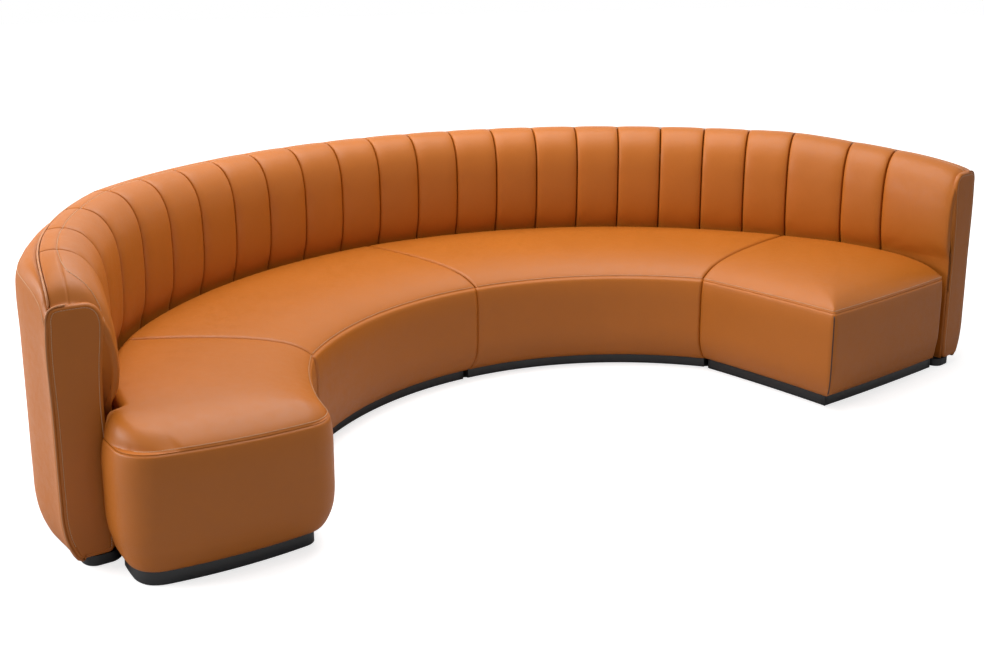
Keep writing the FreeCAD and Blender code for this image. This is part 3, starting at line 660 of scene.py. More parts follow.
# %% [markdown]
# ## Plan of a seat
# A seat is bounded by its front arc, the foot line and two sides. A side is either a joint, which is a
# straight line to the neighbouring seat, or a free end, which is a shallow arc. Each corner is rounded.
# The outline is worked out for any inset of the free edges, so that the border can belly out and roll
# under while its joints stay flat.

# %% Lines and corners of the seats
SEAT_DEPTH = 0.568
FRONT_RADIUS = FOOT_RADIUS - SEAT_DEPTH
JOINT_GAP = 0.0022
REAR_GAP = 0.028
JOINT_ROUNDING = 0.009
# Past the end panel of the return, the seat's rear comes forward of the panel and widens to this line
PAST_PANEL = (RETURN_SEAMS[-1] + 1.0, RETURN_SEAMS[-1] + 2.1)
PAST_PANEL_OUT = 0.026


def eased(angle, span):
    """How far an angle has come through a span, from 0 to 1, with a soft start and end."""
    share = through(angle, *span)
    return share ** 2 * (3 - 2 * share)


def rear_line(angle, inset=0.0):
    """Distance of the seats' rear line out from the foot line. Only past the panel it has an inset."""
    return -REAR_GAP + (PAST_PANEL_OUT + REAR_GAP - inset) * eased(angle, PAST_PANEL)


def bowed(start, end, bow):
    """Centre and radius of the arc from start to end that stands out to the left by bow."""
    chord = end - start
    length = np.linalg.norm(chord)
    radius = (length ** 2 / 4 + bow * bow) / (2 * bow)
    left = np.array([-chord[1], chord[0]]) / length
    return (start + end) / 2 + left * (bow - radius), radius


def joint(front_angle, rear_angle):
    """End points of a joint between two seats."""
    return ARC_CENTRE + unit(front_angle) * FRONT_RADIUS, ARC_CENTRE + unit(rear_angle) * FOOT_RADIUS


# Joints and free corners of the seats, set off from the seams of the back
LEFT_JOINT = joint(RETURN_ANGLE + 1.5, RETURN_ANGLE + 7.0)
MIDDLE_JOINT = joint(CENTRE_BREAK - 4.25, CENTRE_BREAK + 2.85)
RIGHT_JOINT = joint(RIGHT_BREAK + 9.9, RIGHT_BREAK - 0.3)
RIGHT_CORNER = ARC_CENTRE + unit(RIGHT_SEAMS[-1] + 0.6) * (FRONT_RADIUS - 0.159)
RIGHT_REAR = ARC_CENTRE + unit(RIGHT_SEAMS[-1] - 0.3) * FOOT_RADIUS
LEFT_CORNER = RETURN_CENTRE + unit(RETURN_SEAMS[-1] + 28.3) * (RETURN_RADIUS - SEAT_DEPTH + 0.1167)
LEFT_REAR = RETURN_CENTRE + unit(RETURN_SEAMS[-1] + 9.3) * (RETURN_RADIUS + 0.103)
print("free corners of the seats:", LEFT_CORNER.round(3), RIGHT_CORNER.round(3))

# %% Sides of the seats
JOINT_POINTS = 40
FREE_END_POINTS = 60


def turning(start, end, count):
    """Directions that turn evenly from one to another, the short way."""
    first, last = bearing(start), bearing(end)
    return unit(np.linspace(first, first + (last - first + 180) % 360 - 180, count))


def joint_side(line, inwards):
    """Joint side of a seat: distance inside it and outward direction at plan points."""
    front, rear = line
    along = direction(rear - front)
    normal = np.array([-along[1], along[0]]) * inwards
    return {
        "free": False, "rounding": JOINT_ROUNDING, "rear_rounding": JOINT_ROUNDING,
        "inside": lambda p: (p - front) @ normal - JOINT_GAP,
        "outward": lambda p: -normal,
        "between": lambda p, q: np.linspace(p, q, JOINT_POINTS),
    }


def free_side(arc, rounding, rear_rounding):
    """Free end of a seat, on an arc that bows outwards."""
    centre, radius = arc
    return {
        "free": True, "rounding": rounding, "rear_rounding": rear_rounding,
        "inside": lambda p: radius - np.linalg.norm(p - centre, axis=-1),
        "outward": lambda p: direction(p - centre),
        "between": lambda p, q: (centre + turning(p - centre, q - centre, FREE_END_POINTS)
                                 * np.linalg.norm(p - centre)),
    }


# Each seat has its front arc, its two sides, and the stretch of the foot line that holds its rear corners
SEATS = {
    "seat_left_end": {
        "front": bowed(LEFT_CORNER, LEFT_JOINT[0], 0.030), "first": joint_side(LEFT_JOINT, 1),
        "last": free_side(bowed(LEFT_CORNER, LEFT_REAR, 0.033), 0.075, 0.110), "feet": (RETURN_ANGLE, 216),
    },
    "seat_left": {
        "front": (ARC_CENTRE, FRONT_RADIUS), "first": joint_side(MIDDLE_JOINT, 1),
        "last": joint_side(LEFT_JOINT, -1), "feet": (92, 156),
    },
    "seat_right": {
        "front": (ARC_CENTRE, FRONT_RADIUS), "first": joint_side(RIGHT_JOINT, 1),
        "last": joint_side(MIDDLE_JOINT, -1), "feet": (28, 104),
    },
    "seat_right_end": {
        "front": bowed(RIGHT_JOINT[0], RIGHT_CORNER, 0.008),
        "first": free_side(bowed(RIGHT_REAR, RIGHT_CORNER, 0.006), 0.012, 0.020),
        "last": joint_side(RIGHT_JOINT, -1), "feet": (4, 40),
    },
}
print("seats:", *SEATS)

# %% Seat outlines
# Points of a front and a rear, middle point of a fine line and of a rounded corner
FRONT_POINTS = 200
REAR_POINTS = 300
FINE_MIDDLE = 3000
CORNER_MIDDLE = 16
FRONT_SWEEP = 60
LEAST_ROUNDING = {"rounding": 0.004, "rear_rounding": 0.006}


def halves(start, end):
    """Fine steps from start to end, in two halves that share the middle."""
    steps = np.linspace(start, end, 2 * FINE_MIDDLE + 1)
    return steps[:FINE_MIDDLE + 1], steps[FINE_MIDDLE:]


def foot_turn(point):
    """Angle along the foot line of the stretch next to a plan point."""
    main = bearing(point - ARC_CENTRE) % 360
    return main if main <= RETURN_ANGLE else bearing(point - RETURN_CENTRE) % 360


def corner(line, side, inset, rounding):
    """Axis of a rounded corner: the point of a line, set in by the rounding, that is level with a side."""
    points = line(rounding)
    depth = side["inside"](points) - rounding - inset * side["free"]
    change = np.flatnonzero(np.diff(np.sign(depth)))
    i = change[0] if depth[0] < 0 else change[-1]
    f = depth[i] / (depth[i] - depth[i + 1])
    return points[i] + f * (points[i + 1] - points[i])


def seat_outline(seat, inset):
    """The four edges of a seat's plan: front, last side, rear and first side, as fine lines."""
    centre, radius = seat["front"]
    middle = bearing(foot_line(sum(seat["feet"]) / 2, -SEAT_DEPTH / 2) - centre)
    spans = zip(("first", "last"), halves(middle - FRONT_SWEEP, middle + FRONT_SWEEP), halves(*seat["feet"]))
    ends = []
    for key, sweep, feet in spans:
        side = seat[key]
        front_round, rear_round = (max(side[kind] - inset * side["free"], least)
                                   for kind, least in LEAST_ROUNDING.items())
        axis = corner(lambda r: centre + unit(sweep) * (radius + inset + r), side, inset, front_round)
        rear_axis = corner(lambda r: foot_line(feet, rear_line(feet, inset) - r), side, inset, rear_round)
        foot = foot_turn(rear_axis)
        count = 2 * CORNER_MIDDLE + 1
        front = axis + turning(centre - axis, side["outward"](axis), count) * front_round
        rear = rear_axis + turning(side["outward"](rear_axis), unit(foot), count) * rear_round
        edge = np.r_[front[CORNER_MIDDLE:], side["between"](front[-1], rear[0])[1:-1],
                     rear[:CORNER_MIDDLE + 1]]
        ends.append((front[:CORNER_MIDDLE + 1], edge, rear[CORNER_MIDDLE:], bearing(axis - centre), foot))
    (front_a, first, rear_a, sweep_a, foot_a), (front_b, last, rear_b, sweep_b, foot_b) = ends
    front = centre + unit(np.linspace(sweep_a, sweep_b, FRONT_POINTS)) * (radius + inset)
    feet = np.linspace(foot_a, foot_b, REAR_POINTS)
    rear = foot_line(feet, rear_line(feet, inset))
    return (np.r_[front_a[::-1], front[1:-1], front_b], last,
            np.r_[rear_a, rear[1:-1], rear_b[::-1]], first)


for name, seat in SEATS.items():
    print(name, "front", round(float(lengths(seat_outline(seat, 0.0)[0])[-1]), 3), "m")

# %% [markdown]
# ## Seat tops
# A seat top is a pad with a rounded front, a crown that climbs for a hand's breadth and then nearly
# level leather to the back. Its height depends on how far a point is from the free edges, and at the
# joints a small roll turns it down into the gap. The plan is filled between its four edges with a
# blended patch, and a skirt goes down under the seam.

# %% Height of the seat tops
# Distance in from the free edge and height of the top
TOP_LINE = [
    (0.000, 0.3595), (0.004, 0.366), (0.010, 0.3725), (0.020, 0.3805), (0.032, 0.388), (0.055, 0.399),
    (0.078, 0.4065), (0.125, 0.4165), (0.172, 0.423), (0.220, 0.4275), (0.318, 0.433), (0.420, 0.4355),
    (0.520, 0.435), (0.640, 0.434), (1.300, 0.434),
]
TOP_STEPS = 3000
SEAM_HEIGHT = TOP_LINE[0][1]
JOINT_ROLL = 0.011
REAR_ROLL = 0.020
HIDDEN_REAR = 0.4
REAR_CORNER_ROLL = 0.045
# Between front and end, edges blend over this share of their distance, and over this much at least
EDGE_BLEND = 0.5
LEAST_BLEND = 1e-4


def rolled_off(distance, radius):
    """How far a rounded edge has dropped at a distance in from it."""
    inside = np.clip(1 - distance / radius, 0, 1)
    return radius * (1 - np.sqrt(1 - inside ** 2))


def round_corner(one, other, rounding, elsewhere):
    """Distance in from two edges inside their rounded corner, and what is given elsewhere."""
    near = np.maximum(rounding - np.stack([one, other]), 0)
    return np.where((near > 0).all(0), rounding - np.hypot(*near), elsewhere)


def free_edge_distance(seat, plan):
    """Distance of plan points from the nearest free edge, blended smoothly between front and end."""
    centre, radius = seat["front"]
    distance = np.linalg.norm(plan - centre, axis=-1) - radius
    for side in (seat["first"], seat["last"]):
        if side["free"]:
            other = side["inside"](plan)
            nearest = np.minimum(distance, other)
            blend = EDGE_BLEND * np.abs(nearest) + LEAST_BLEND
            overlap = np.maximum(blend - np.abs(distance - other), 0) / blend
            distance = round_corner(distance, other, side["rounding"], nearest - overlap ** 2 * blend / 4)
    return np.maximum(distance, 0)


def return_turn(plan):
    """Angle of plan points round the centre of the tight arc."""
    turn = bearing(plan - RETURN_CENTRE) % 360
    return np.where(turn < 270, turn, turn - 360)


def foot_distance(plan):
    """Distance of plan points from the rear line of the seats."""
    main = FOOT_RADIUS - np.linalg.norm(plan - ARC_CENTRE, axis=-1)
    tight = RETURN_RADIUS - np.linalg.norm(plan - RETURN_CENTRE, axis=-1)
    ray = bearing(plan - ARC_CENTRE) % 360
    return np.where(ray > RETURN_ANGLE, tight + rear_line(return_turn(plan)), main - REAR_GAP)


def rear_corner_share(seat, plan):
    """How far the top has risen from the rounded rear corner of a seat, from 0 to 1."""
    side = seat["last"]
    rear = np.maximum(foot_distance(plan), 0) + HIDDEN_REAR * (1 - eased(return_turn(plan), PAST_PANEL))
    distance = round_corner(side["inside"](plan), rear, side["rear_rounding"], rear)
    short = np.clip(1 - distance / REAR_CORNER_ROLL, 0, 1)
    return np.sqrt(1 - short ** 2)


def top_height(seat, plan):
    """Height of a seat's top over plan points."""
    lookup = spline(TOP_LINE, np.linspace(0, 1, TOP_STEPS))
    height = np.interp(free_edge_distance(seat, plan), lookup[:, 0], lookup[:, 1])
    if seat["last"]["free"]:
        height = SEAM_HEIGHT + (height - SEAM_HEIGHT) * rear_corner_share(seat, plan)
    room = through(height, SEAM_HEIGHT, SEAM_HEIGHT + 2 * JOINT_ROLL)
    for side in (seat["first"], seat["last"]):
        if not side["free"]:
            height = height - room * rolled_off(side["inside"](plan), JOINT_ROLL)
    return height - room * rolled_off(np.maximum(foot_distance(plan), 0), REAR_ROLL)


print("tops rise by", round(1000 * (TOP_LINE[-1][1] - SEAM_HEIGHT), 1), "mm from their seams")

# %% Seat top pads
SIDE_COLUMNS = 72
DEPTH_ROWS = 64
HELD_ROWS = 4
SEAT_PRESSURE = 1.5
EVENING_ROUNDS = 60
SKIRT_BOTTOM = 0.345
SKIRT_TUCK = 0.004


def blended_patch(edges, across, along):
    """Plan points of a patch between four edges: front, last side, rear and first side."""
    front, last, rear, first = edges
    s, t = across[:, None, None], along[None, :, None]
    f, r = resample(front, across)[:, None], resample(rear, across)[:, None]
    a, b = resample(first, along)[None], resample(last, along)[None]
    corners = ((1 - s) * (1 - t) * front[0] + s * (1 - t) * front[-1]
               + (1 - s) * t * rear[0] + s * t * rear[-1])
    return (1 - t) * f + t * r + (1 - s) * a + s * b - corners


def seat_top(name, seat):
    """Stuffed top pad of a seat."""
    plan = blended_patch(seat_outline(seat, 0.0), edge_spaced(SIDE_COLUMNS), edge_spaced(DEPTH_ROWS))
    grid = np.pad(lift(plan, top_height(seat, plan)), ((1, 1), (1, 1), (0, 0)), mode="edge")
    skirt = np.ones(grid.shape[:2], bool)
    skirt[1:-1, 1:-1] = False
    inwards = direction(plan.mean((0, 1)) - grid[skirt][:, :2])
    grid[skirt] = lift(grid[skirt][:, :2] + SKIRT_TUCK * inwards, SKIRT_BOTTOM)
    columns, rows = grid.shape[:2]
    top = bent_grid(
        name + "_cushion", columns, rows, lambda i, j: grid[i, j],
        lambda i, j: np.minimum(np.minimum(i, columns - 1 - i), np.minimum(j, rows - 1 - j)) < HELD_ROWS)
    close_up(top)
    stuff(top, SEAT_PRESSURE, EVENING_ROUNDS)
    subdivide_smooth(top)
    return top


for name, seat in SEATS.items():
    dress(seat_top(name, seat), LEATHER, name, nodes=[name + "_top"])

# %% [markdown]
# ## Seat borders
# Below the seam a band of leather runs round the seat. It bellies out a little, drops nearly to the
# floor and rolls under to the recessed plinth. Each row of the band is the seat's outline at another
# inset. At the joints the band turns the corner and runs back flat between the seats.

# %% Seat border bands
# Distance in from the seam line and height of the border, from the seam down to the lip underneath
BORDER_LINE = [
    (0.006, 0.354), (0.0012, 0.3586), (-0.0014, 0.3562), (-0.0045, 0.345), (-0.0080, 0.322),
    (-0.0098, 0.295), (-0.010, 0.260), (-0.010, 0.200), (-0.0095, 0.150), (-0.005, 0.112), (0.007, 0.078),
    (0.022, 0.0545), (0.035, 0.0445), (0.0435, 0.0425), (0.047, 0.046), (0.047, 0.056),
]
BORDER_ROWS = 44
FRONT_STEPS = 110
SIDE_STEPS = 46
# Beside the back a free end goes almost straight down: from front to rear its roll fades to this share
REAR_ROLL_SHARE = 0.35


def seat_loop(seat, inset):
    """Closed plan line of a seat at an inset, which fades to a share towards the rear of a free end."""
    across, along = edge_spaced(FRONT_STEPS), edge_spaced(SIDE_STEPS)

    def loop(depth):
        front, last, rear, first = seat_outline(seat, depth)
        return np.r_[resample(front, across)[:-1], resample(last, along)[:-1],
                     resample(rear[::-1], across)[:-1], resample(first[::-1], along)]

    if inset <= 0:
        return loop(inset)
    last, first = (along * seat[key]["free"] for key in ("last", "first"))
    rear = last[-1] * (1 - across) + first[-1] * across
    fade = np.r_[np.zeros(len(across) - 1), last[:-1], rear[:-1], first[::-1]]
    return loop(inset) + fade[:, None] * (loop(inset * REAR_ROLL_SHARE) - loop(inset))


for name, seat in SEATS.items():
    loops = np.array([lift(seat_loop(seat, inset), height)
                      for inset, height in spline(BORDER_LINE, np.linspace(0, 1, BORDER_ROWS))])
    border = bent_grid(name + "_band", loops.shape[1], loops.shape[0], lambda i, j: loops[j, i])
    close_up(border)
    apply_modifier(border, "SOLIDIFY", thickness=LEATHER_BACKING, offset=-1)
    dress(border, LEATHER, name, nodes=[name + "_border"])

# %% [markdown]
# ## End panels
# Each end of the back is closed by a flat upholstered panel, cut to the section of the back and sewn in
# with a piped seam. It is built like a shallow lid: rings of points follow the outline, climb its rim,
# turn over onto the face, where a fine groove takes the topstitch, and close in on an upright spine.

# %% End panel lids
PANEL_POINTS = 240
FOOT_POINTS = 8
PANEL_FOOT = 0.046
PANEL_INSET = 0.0055
PANEL_SMOOTH = math.radians(50)
# Distance in from the outline and height above the end of the back
PANEL_RINGS = [
    (0.0000, 0.0006), (0.0000, 0.0050), (0.0004, 0.0085), (0.0015, 0.0118), (0.0034, 0.0142),
    (0.0060, 0.0156), (0.0085, 0.0160), (0.0100, 0.0157), (0.0110, 0.0150), (0.0120, 0.0157),
    (0.0140, 0.0161), (0.0180, 0.0163),
]
SPINE_SHARES = (0.2, 0.4, 0.6, 0.8, 0.96)
SPINE_OUT = 0.066
SPINE_MARGIN = 0.075
SPINE_RISE = 0.0008
# Angle along the foot line, side that a panel faces, and its top
PANELS = {
    "return": (RETURN_SEAMS[-1], 1, BACK_HEIGHT - RETURN_FALL - RETURN_SHOULDER),
    "right": (RIGHT_SEAMS[-1], -1, BACK_HEIGHT - RIGHT_FALL - RIGHT_SHOULDER),
}


def inset_outline(outline, inset):
    """Outline moved inwards by a distance."""
    along = direction(np.roll(outline, -1, 0) - np.roll(outline, 1, 0))
    return outline + np.stack([along[:, 1], -along[:, 0]], -1) * inset


def panel_outline(top):
    """Closed outline of an end panel as distance out and height, from its foot up the room side."""
    rise = [(0.040, PANEL_FOOT), (0.020, 0.048), (0.008, 0.058), (0.004, 0.080), (0.004, 0.200),
            (0.004, 0.340), (0.006, 0.430), (0.001, top - 0.160), (-0.006, top - 0.090),
            (-0.007, top - 0.060), (-0.002, top - 0.034), (0.012, top - 0.013), (0.032, top - 0.002),
            (0.056, top), (0.090, top), (0.112, top - 0.002), (0.127, top - 0.010), (0.135, top - 0.026),
            (0.138, top - 0.060), (0.138, 0.400), (0.138, 0.200), (0.137, 0.140), (0.131, 0.103),
            (0.119, 0.071), (0.106, 0.051), (0.096, PANEL_FOOT)]
    upper = spline(rise, np.linspace(0, 1, PANEL_POINTS - FOOT_POINTS))
    upper[:, 1] = hemmed(upper[:, 1])
    foot = np.linspace(upper[-1], upper[0], FOOT_POINTS + 2)[1:-1]
    return inset_outline(np.r_[upper, foot], PANEL_INSET)


def panel_way(name):
    """Level direction that an end panel faces."""
    angle, way, _ = PANELS[name]
    return way * unit(angle + 90)


def on_panel(name, line, height):
    """Points in space at a height over points of a panel's outline."""
    return lift(foot_line(PANELS[name][0], line[:, 0]) + panel_way(name) * height, line[:, 1])


OUTLINES = {name: panel_outline(top) for name, (_, _, top) in PANELS.items()}
for name, outline in OUTLINES.items():
    lines = [(inset_outline(outline, inset), height) for inset, height in PANEL_RINGS]
    face, rise = lines[-1]
    spine = np.clip(face[:, 1], PANEL_FOOT + SPINE_MARGIN, PANELS[name][2] - SPINE_MARGIN)
    spine = np.stack([np.full(len(face), SPINE_OUT), spine], -1)
    lines += [(face + share * (spine - face), rise + SPINE_RISE * share) for share in SPINE_SHARES]
    panel = ring_grid("back_" + name + "_end_cover", np.array([on_panel(name, *line) for line in lines]))
    bpy.ops.object.shade_smooth_by_angle(angle=PANEL_SMOOTH)
    dress(panel, LEATHER, "back", nodes=["back_" + name + "_end_panel"])

# %% [markdown]
# ## Piped seams
# A thin cord wrapped in leather is sewn into the seam between the channels and the outer back, and into
# the outer edge of the end panels. It is a ring of points pulled along a line. The line's own normals
# keep the ring from twisting.

# %% Piping along a line
PIPING_RADIUS = 0.0026
PIPING_SIDES = 10
UPWARDS = np.array([0, 0, 1.0])
WELT_OUT = 0.1212
WELT_HEIGHT = 0.8318
WELT_POINTS = 400
WELT_SPACING = 0.008
# The piping of a panel lies this far in from its outline and this high, along its outer edge above the hem
PANEL_PIPING = (-0.0012, 0.0118)
PANEL_PIPED = (0.085, 0.040)
PANEL_PIPING_SPACING = 0.006


def line_frame(line, up):
    """Directions across a line and away from the surface that carries it."""
    along = direction(np.gradient(line, axis=0))
    across = direction(np.cross(up, along))
    return across, np.cross(along, across)


def piping(name, line, up, radius=PIPING_RADIUS, material=WELT, body="back"):
    """Round cord along a line."""
    across, away = line_frame(line, up)
    turn = unit(np.arange(PIPING_SIDES) * 360 / PIPING_SIDES)
    ring = turn[:, :1] * across[:, None] + turn[:, 1:] * away[:, None]
    dress(ring_grid(name, line[:, None] + radius * ring), material, body)


for name, seams in SECTIONS.items():
    angles = np.linspace(seams[0], seams[-1], WELT_POINTS)
    line = lift(foot_line(angles, WELT_OUT), settle(WELT_HEIGHT, angles))
    piping("back_" + name + "_piping", even(line, WELT_SPACING), UPWARDS)

for name, outline in OUTLINES.items():
    outer = inset_outline(outline, PANEL_PIPING[0])[(outline > PANEL_PIPED).all(1)]
    line = on_panel(name, even(outer, PANEL_PIPING_SPACING), PANEL_PIPING[1])
    piping("back_" + name + "_panel_piping", line, np.append(panel_way(name), 0))

# %% [markdown]
# ## Stitches
# Topstitching is the finest detail that shows: short stitches of pale thread in a row. One stitch is a
# small rod with tapered ends. An Array modifier repeats it, and the row is then laid along its line, so
# that every stitch follows the leather.

# %% Stitch rows
STITCH_LENGTH = 0.0052
STITCH_SPACING = 0.0066
STITCH_RADIUS = 0.00075
STITCH_SIDES = 6
# Rings of a stitch: place as a share of its length, and share of its radius
STITCH_RINGS = [(-0.5, 0.35), (-0.3, 1), (0.3, 1), (0.5, 0.35)]
STITCH_LINE_SPACING = 0.004


def one_stitch(name):
    """Small rod along X with tapered ends."""
    turn = STITCH_RADIUS * unit(np.arange(STITCH_SIDES) * 360 / STITCH_SIDES)
    return ring_grid(name, np.array([[(at * STITCH_LENGTH, *(share * way)) for way in turn]
                                     for at, share in STITCH_RINGS]))


def stitch_row(name, body, line, up):
    """Row of stitches along a line, lying on the surface that the line is on."""
    steps = lengths(line)
    stitch = one_stitch(name)
    apply_modifier(stitch, "ARRAY", count=int(steps[-1] / STITCH_SPACING), use_relative_offset=False,
                   use_constant_offset=True, constant_offset_displace=(STITCH_SPACING, 0, 0))
    local = points_of(stitch)
    at = local[:, 0] + STITCH_SPACING / 2
    spot, side, above = (read_off(values, steps, at) for values in (line, *line_frame(line, up)))
    place(stitch, spot + local[:, 1:2] * side + local[:, 2:] * above)
    dress(stitch, THREAD, body)


print("a stitch is", 1000 * STITCH_LENGTH, "mm long")
# %% Stitches of the back
CREST_STEPS = 40
CREST_SPAN = (0.02, 0.98)
CREST_STITCH_LIFT = 0.0004
LAST_SEAM_ROWS = 17
OUTER_STITCH_ROW = 3
OUTER_STITCH_POINTS = 300
# The stitches of a panel lie this far in from its outline and this high, and leave out the foot
PANEL_STITCHES = (0.0110, 0.0154)
PANEL_STITCHED = slice(6, PANEL_POINTS - 14)


def crest_line(seams):
    """The stitched seam along the top of the channels of one section."""
    share = np.linspace(*CREST_SPAN, CREST_STEPS)
    lines = []
    for start, end in zip(seams, seams[1:]):
        rows = np.full(CREST_STEPS, float(CREST_ROW))
        if end == RETURN_SEAMS[-1]:
            rows -= LAST_SEAM_ROWS * share ** 2
        low = np.floor(rows).astype(int)
        part = (rows - low)[:, None]
        lines.append((1 - part) * channel_points(start, end, share, low)
                     + part * channel_points(start, end, share, low + 1))
    return np.concatenate(lines) + CREST_STITCH_LIFT * UPWARDS


for name, seams in SECTIONS.items():
    stitch_row("back_" + name + "_crest_stitches", "back", crest_line(seams), UPWARDS)
    angles = np.linspace(seams[0], seams[-1], OUTER_STITCH_POINTS)
    line = outer_points(name == "return", angles, 0, np.full(OUTER_STITCH_POINTS, OUTER_STITCH_ROW))
    stitch_row("back_" + name + "_outer_stitches", "back", line, UPWARDS)

for name, outline in OUTLINES.items():
    line = on_panel(name, inset_outline(outline, PANEL_STITCHES[0])[PANEL_STITCHED], PANEL_STITCHES[1])
    stitch_row("back_" + name + "_panel_stitches", "back", even(line, STITCH_LINE_SPACING),
               np.append(panel_way(name), 0))

# %% Stitches of the seats
# Distance in from the seam line and height of both rows
SEAT_STITCHES = {"upper": (0.0036, 0.3662), "lower": (-0.0034, 0.3470)}


def seam_line(seat, inset, height):
    """Line along the front and the free end of a seat."""
    front, last, _, first = seat_outline(seat, inset)
    plan = np.concatenate([first[::-1]] * seat["first"]["free"] + [front] + [last] * seat["last"]["free"])
    plan = plan[np.r_[True, np.diff(lengths(plan)) > UNMOVED]]
    return lift(even(plan, STITCH_LINE_SPACING), height)


for name, seat in SEATS.items():
    for row, (inset, height) in SEAT_STITCHES.items():
        stitch_row(name + "_" + row + "_stitches", name, seam_line(seat, inset, height), UPWARDS)

# %% [markdown]
# ## Painted corner seam shade and panel wraps
# The border of the right end seat is pieced at its sharp front corner. The shade in that seam is painted:
# a near-black cord runs from the top seam down as a dark line of painted shade. Behind the seats' ends, the
# leather of the end panels wraps round onto the room side, so that no bare wood shows in the gap beside the
# seat.

# %% Painted shade of the corner seam, and wraps
SEAM_SHADE = grained("seam shadow", (0.045, 0.014, 0.004), pore_size=420, drift=0.2, bump=0.2)
CORNER_SEAM_SHADE_RADIUS = 0.0021
# Part of the border's section that the corner seam runs along
CORNER_SEAM_SHARES = np.linspace(0.05, 0.86, 40)
WRAP_POINTS = 12
WRAP_REACH = (-0.070, 0.010)
WRAP_OUT = 0.0010
WRAP_HEIGHT = (0.037, 0.420)

# The corner seam is a near-black cord in the seam shadow material: painted shade of the seam groove.
right_end = SEATS["seat_right_end"]
line = np.array([[*seat_outline(right_end, inset)[0][0], height]
                 for inset, height in spline(BORDER_LINE, CORNER_SEAM_SHARES)])
piping("seat_right_end_corner_seam_shade", line, np.append(right_end["first"]["outward"](line[0, :2]), 0),
       CORNER_SEAM_SHADE_RADIUS, SEAM_SHADE, "seat_right_end")

for name, (angle, way, _) in PANELS.items():
    reach = np.linspace(*WRAP_REACH, WRAP_POINTS)
    angles = angle + way * np.degrees(reach / arc_of(name == "return")[1])
    heights = np.linspace(*WRAP_HEIGHT, WRAP_POINTS)
    wrap = bent_grid("back_" + name + "_wrap", WRAP_POINTS, WRAP_POINTS,
                     lambda i, j: lift(foot_line(angles[i], WRAP_OUT), heights[j]))
    apply_modifier(wrap, "SOLIDIFY", thickness=LEATHER_BACKING / 2, offset=0)
    close_up(wrap)
    dress(wrap, LEATHER, "back")

# %% [markdown]
# ## Plinths
# Seats and back stand on a low black plinth, set back under the leather so that they seem to float.
# Each plinth is a ring of its own plan, with the sharp edges taken off, and closed above and below.

# %% Plinth rings
PLINTH_INSET = 0.049
PLINTH_JOINT_INSET = 0.007
PLINTH_SPACING = 0.012
PLINTH_SMOOTH = math.radians(40)
# Extra inset and height of the rings of a plinth
PLINTH_RINGS = [(0.0015, 0.0015), (0.0, 0.0030), (0.0, 0.0570), (0.0015, 0.0590)]
# Those of the back are set back above the hem, behind the leather
BACK_PLINTH_RINGS = [
    (0.0015, 0.0015), (0.0, 0.0030), (0.0, 0.0300), (0.016, 0.0320), (0.016, 0.0570), (0.0175, 0.0590),
]
PLINTH_OUT = (-0.012, 0.086)
PLINTH_END = 0.006
PLINTH_ROUNDING = 0.035
PLINTH_TURN_POINTS = 12
SEAM_POINTS = 40
LACQUER = grained("satin black lacquer", (0.014, 0.015, 0.017), pore_size=300, drift=0.4, bump=0.10)


def plinth(name, body, loop, lines):
    """Closed ring over a plan that runs clockwise."""
    rings = np.array([lift(inset_outline(loop, inset), height) for inset, height in lines])
    block = ring_grid(name + "_base", rings)
    bpy.ops.object.shade_smooth_by_angle(angle=PLINTH_SMOOTH)
    dress(block, LACQUER, body, nodes=[name + "_plinth"])


def clockwise(loop):
    """A closed plan turned so that its inside lies to the right."""
    after = np.roll(loop, -1, 0)
    return loop if (loop[:, 0] * after[:, 1] - after[:, 0] * loop[:, 1]).sum() < 0 else loop[::-1]


for name, seat in SEATS.items():
    loop = clockwise(even(seat_loop(seat, PLINTH_INSET - PLINTH_JOINT_INSET), PLINTH_SPACING)[:-1])
    plinth(name, name, inset_outline(loop, PLINTH_JOINT_INSET), PLINTH_RINGS)

for name, seams in SECTIONS.items():
    last = seams[-1:]
    drawn = np.zeros(SEAM_POINTS * len(seams))
    if name in PANELS:
        turn = np.linspace(0, np.pi / 2, PLINTH_TURN_POINTS)
        past = PLINTH_END - PLINTH_ROUNDING * (1 - np.sin(turn))
        last = seams[-1] + PANELS[name][1] * np.degrees(past / arc_of(name == "return")[1])
        drawn = np.r_[drawn, PLINTH_ROUNDING * (1 - np.cos(turn[1:]))]
    angles = np.r_[np.linspace(seams[0], last[0], SEAM_POINTS * len(seams)), last[1:]]
    loop = np.r_[foot_line(angles, PLINTH_OUT[1] + return_swell(angles, 0) - drawn),
                 foot_line(angles[::-1], PLINTH_OUT[0] + drawn[::-1])]
    plinth("back_" + name, "back", clockwise(loop), BACK_PLINTH_RINGS)

# %% [markdown]
# ## Hard pieces and insides
# What the leather covers is bare: plywood, foam, webbing, cloth and plated steel. These CAD shapes are
# right as they are, so they only get their finishes. Cloth and webbing share one weave, and plywood
# shows its glued layers.

# %% Weave, plywood and the finishes of the CAD pieces
def weave_group():
    """Node group with the crossing threads of a cloth."""
    group, given, result = new_group("crossing threads", ("Threads",), ("Shade", "Relief"))
    spot = add_node(group, "TexCoord").outputs["Object"]
    waves = [add_node(group, "TexWave", {"Vector": spot, "Scale": given["Threads"], "Distortion": 0.6},
                      bands_direction=direction) for direction in ("X", "Y")]
    crossing = add_node(group, "Math", {i: wave.outputs["Fac"] for i, wave in enumerate(waves)},
                        operation="MAXIMUM")
    shade = add_node(group, "MapRange", {"Value": crossing.outputs[0], "To Min": 0.55})
    group.links.new(shade.outputs["Result"], result["Shade"])
    group.links.new(crossing.outputs[0], result["Relief"])
    return group


WEAVE = weave_group()


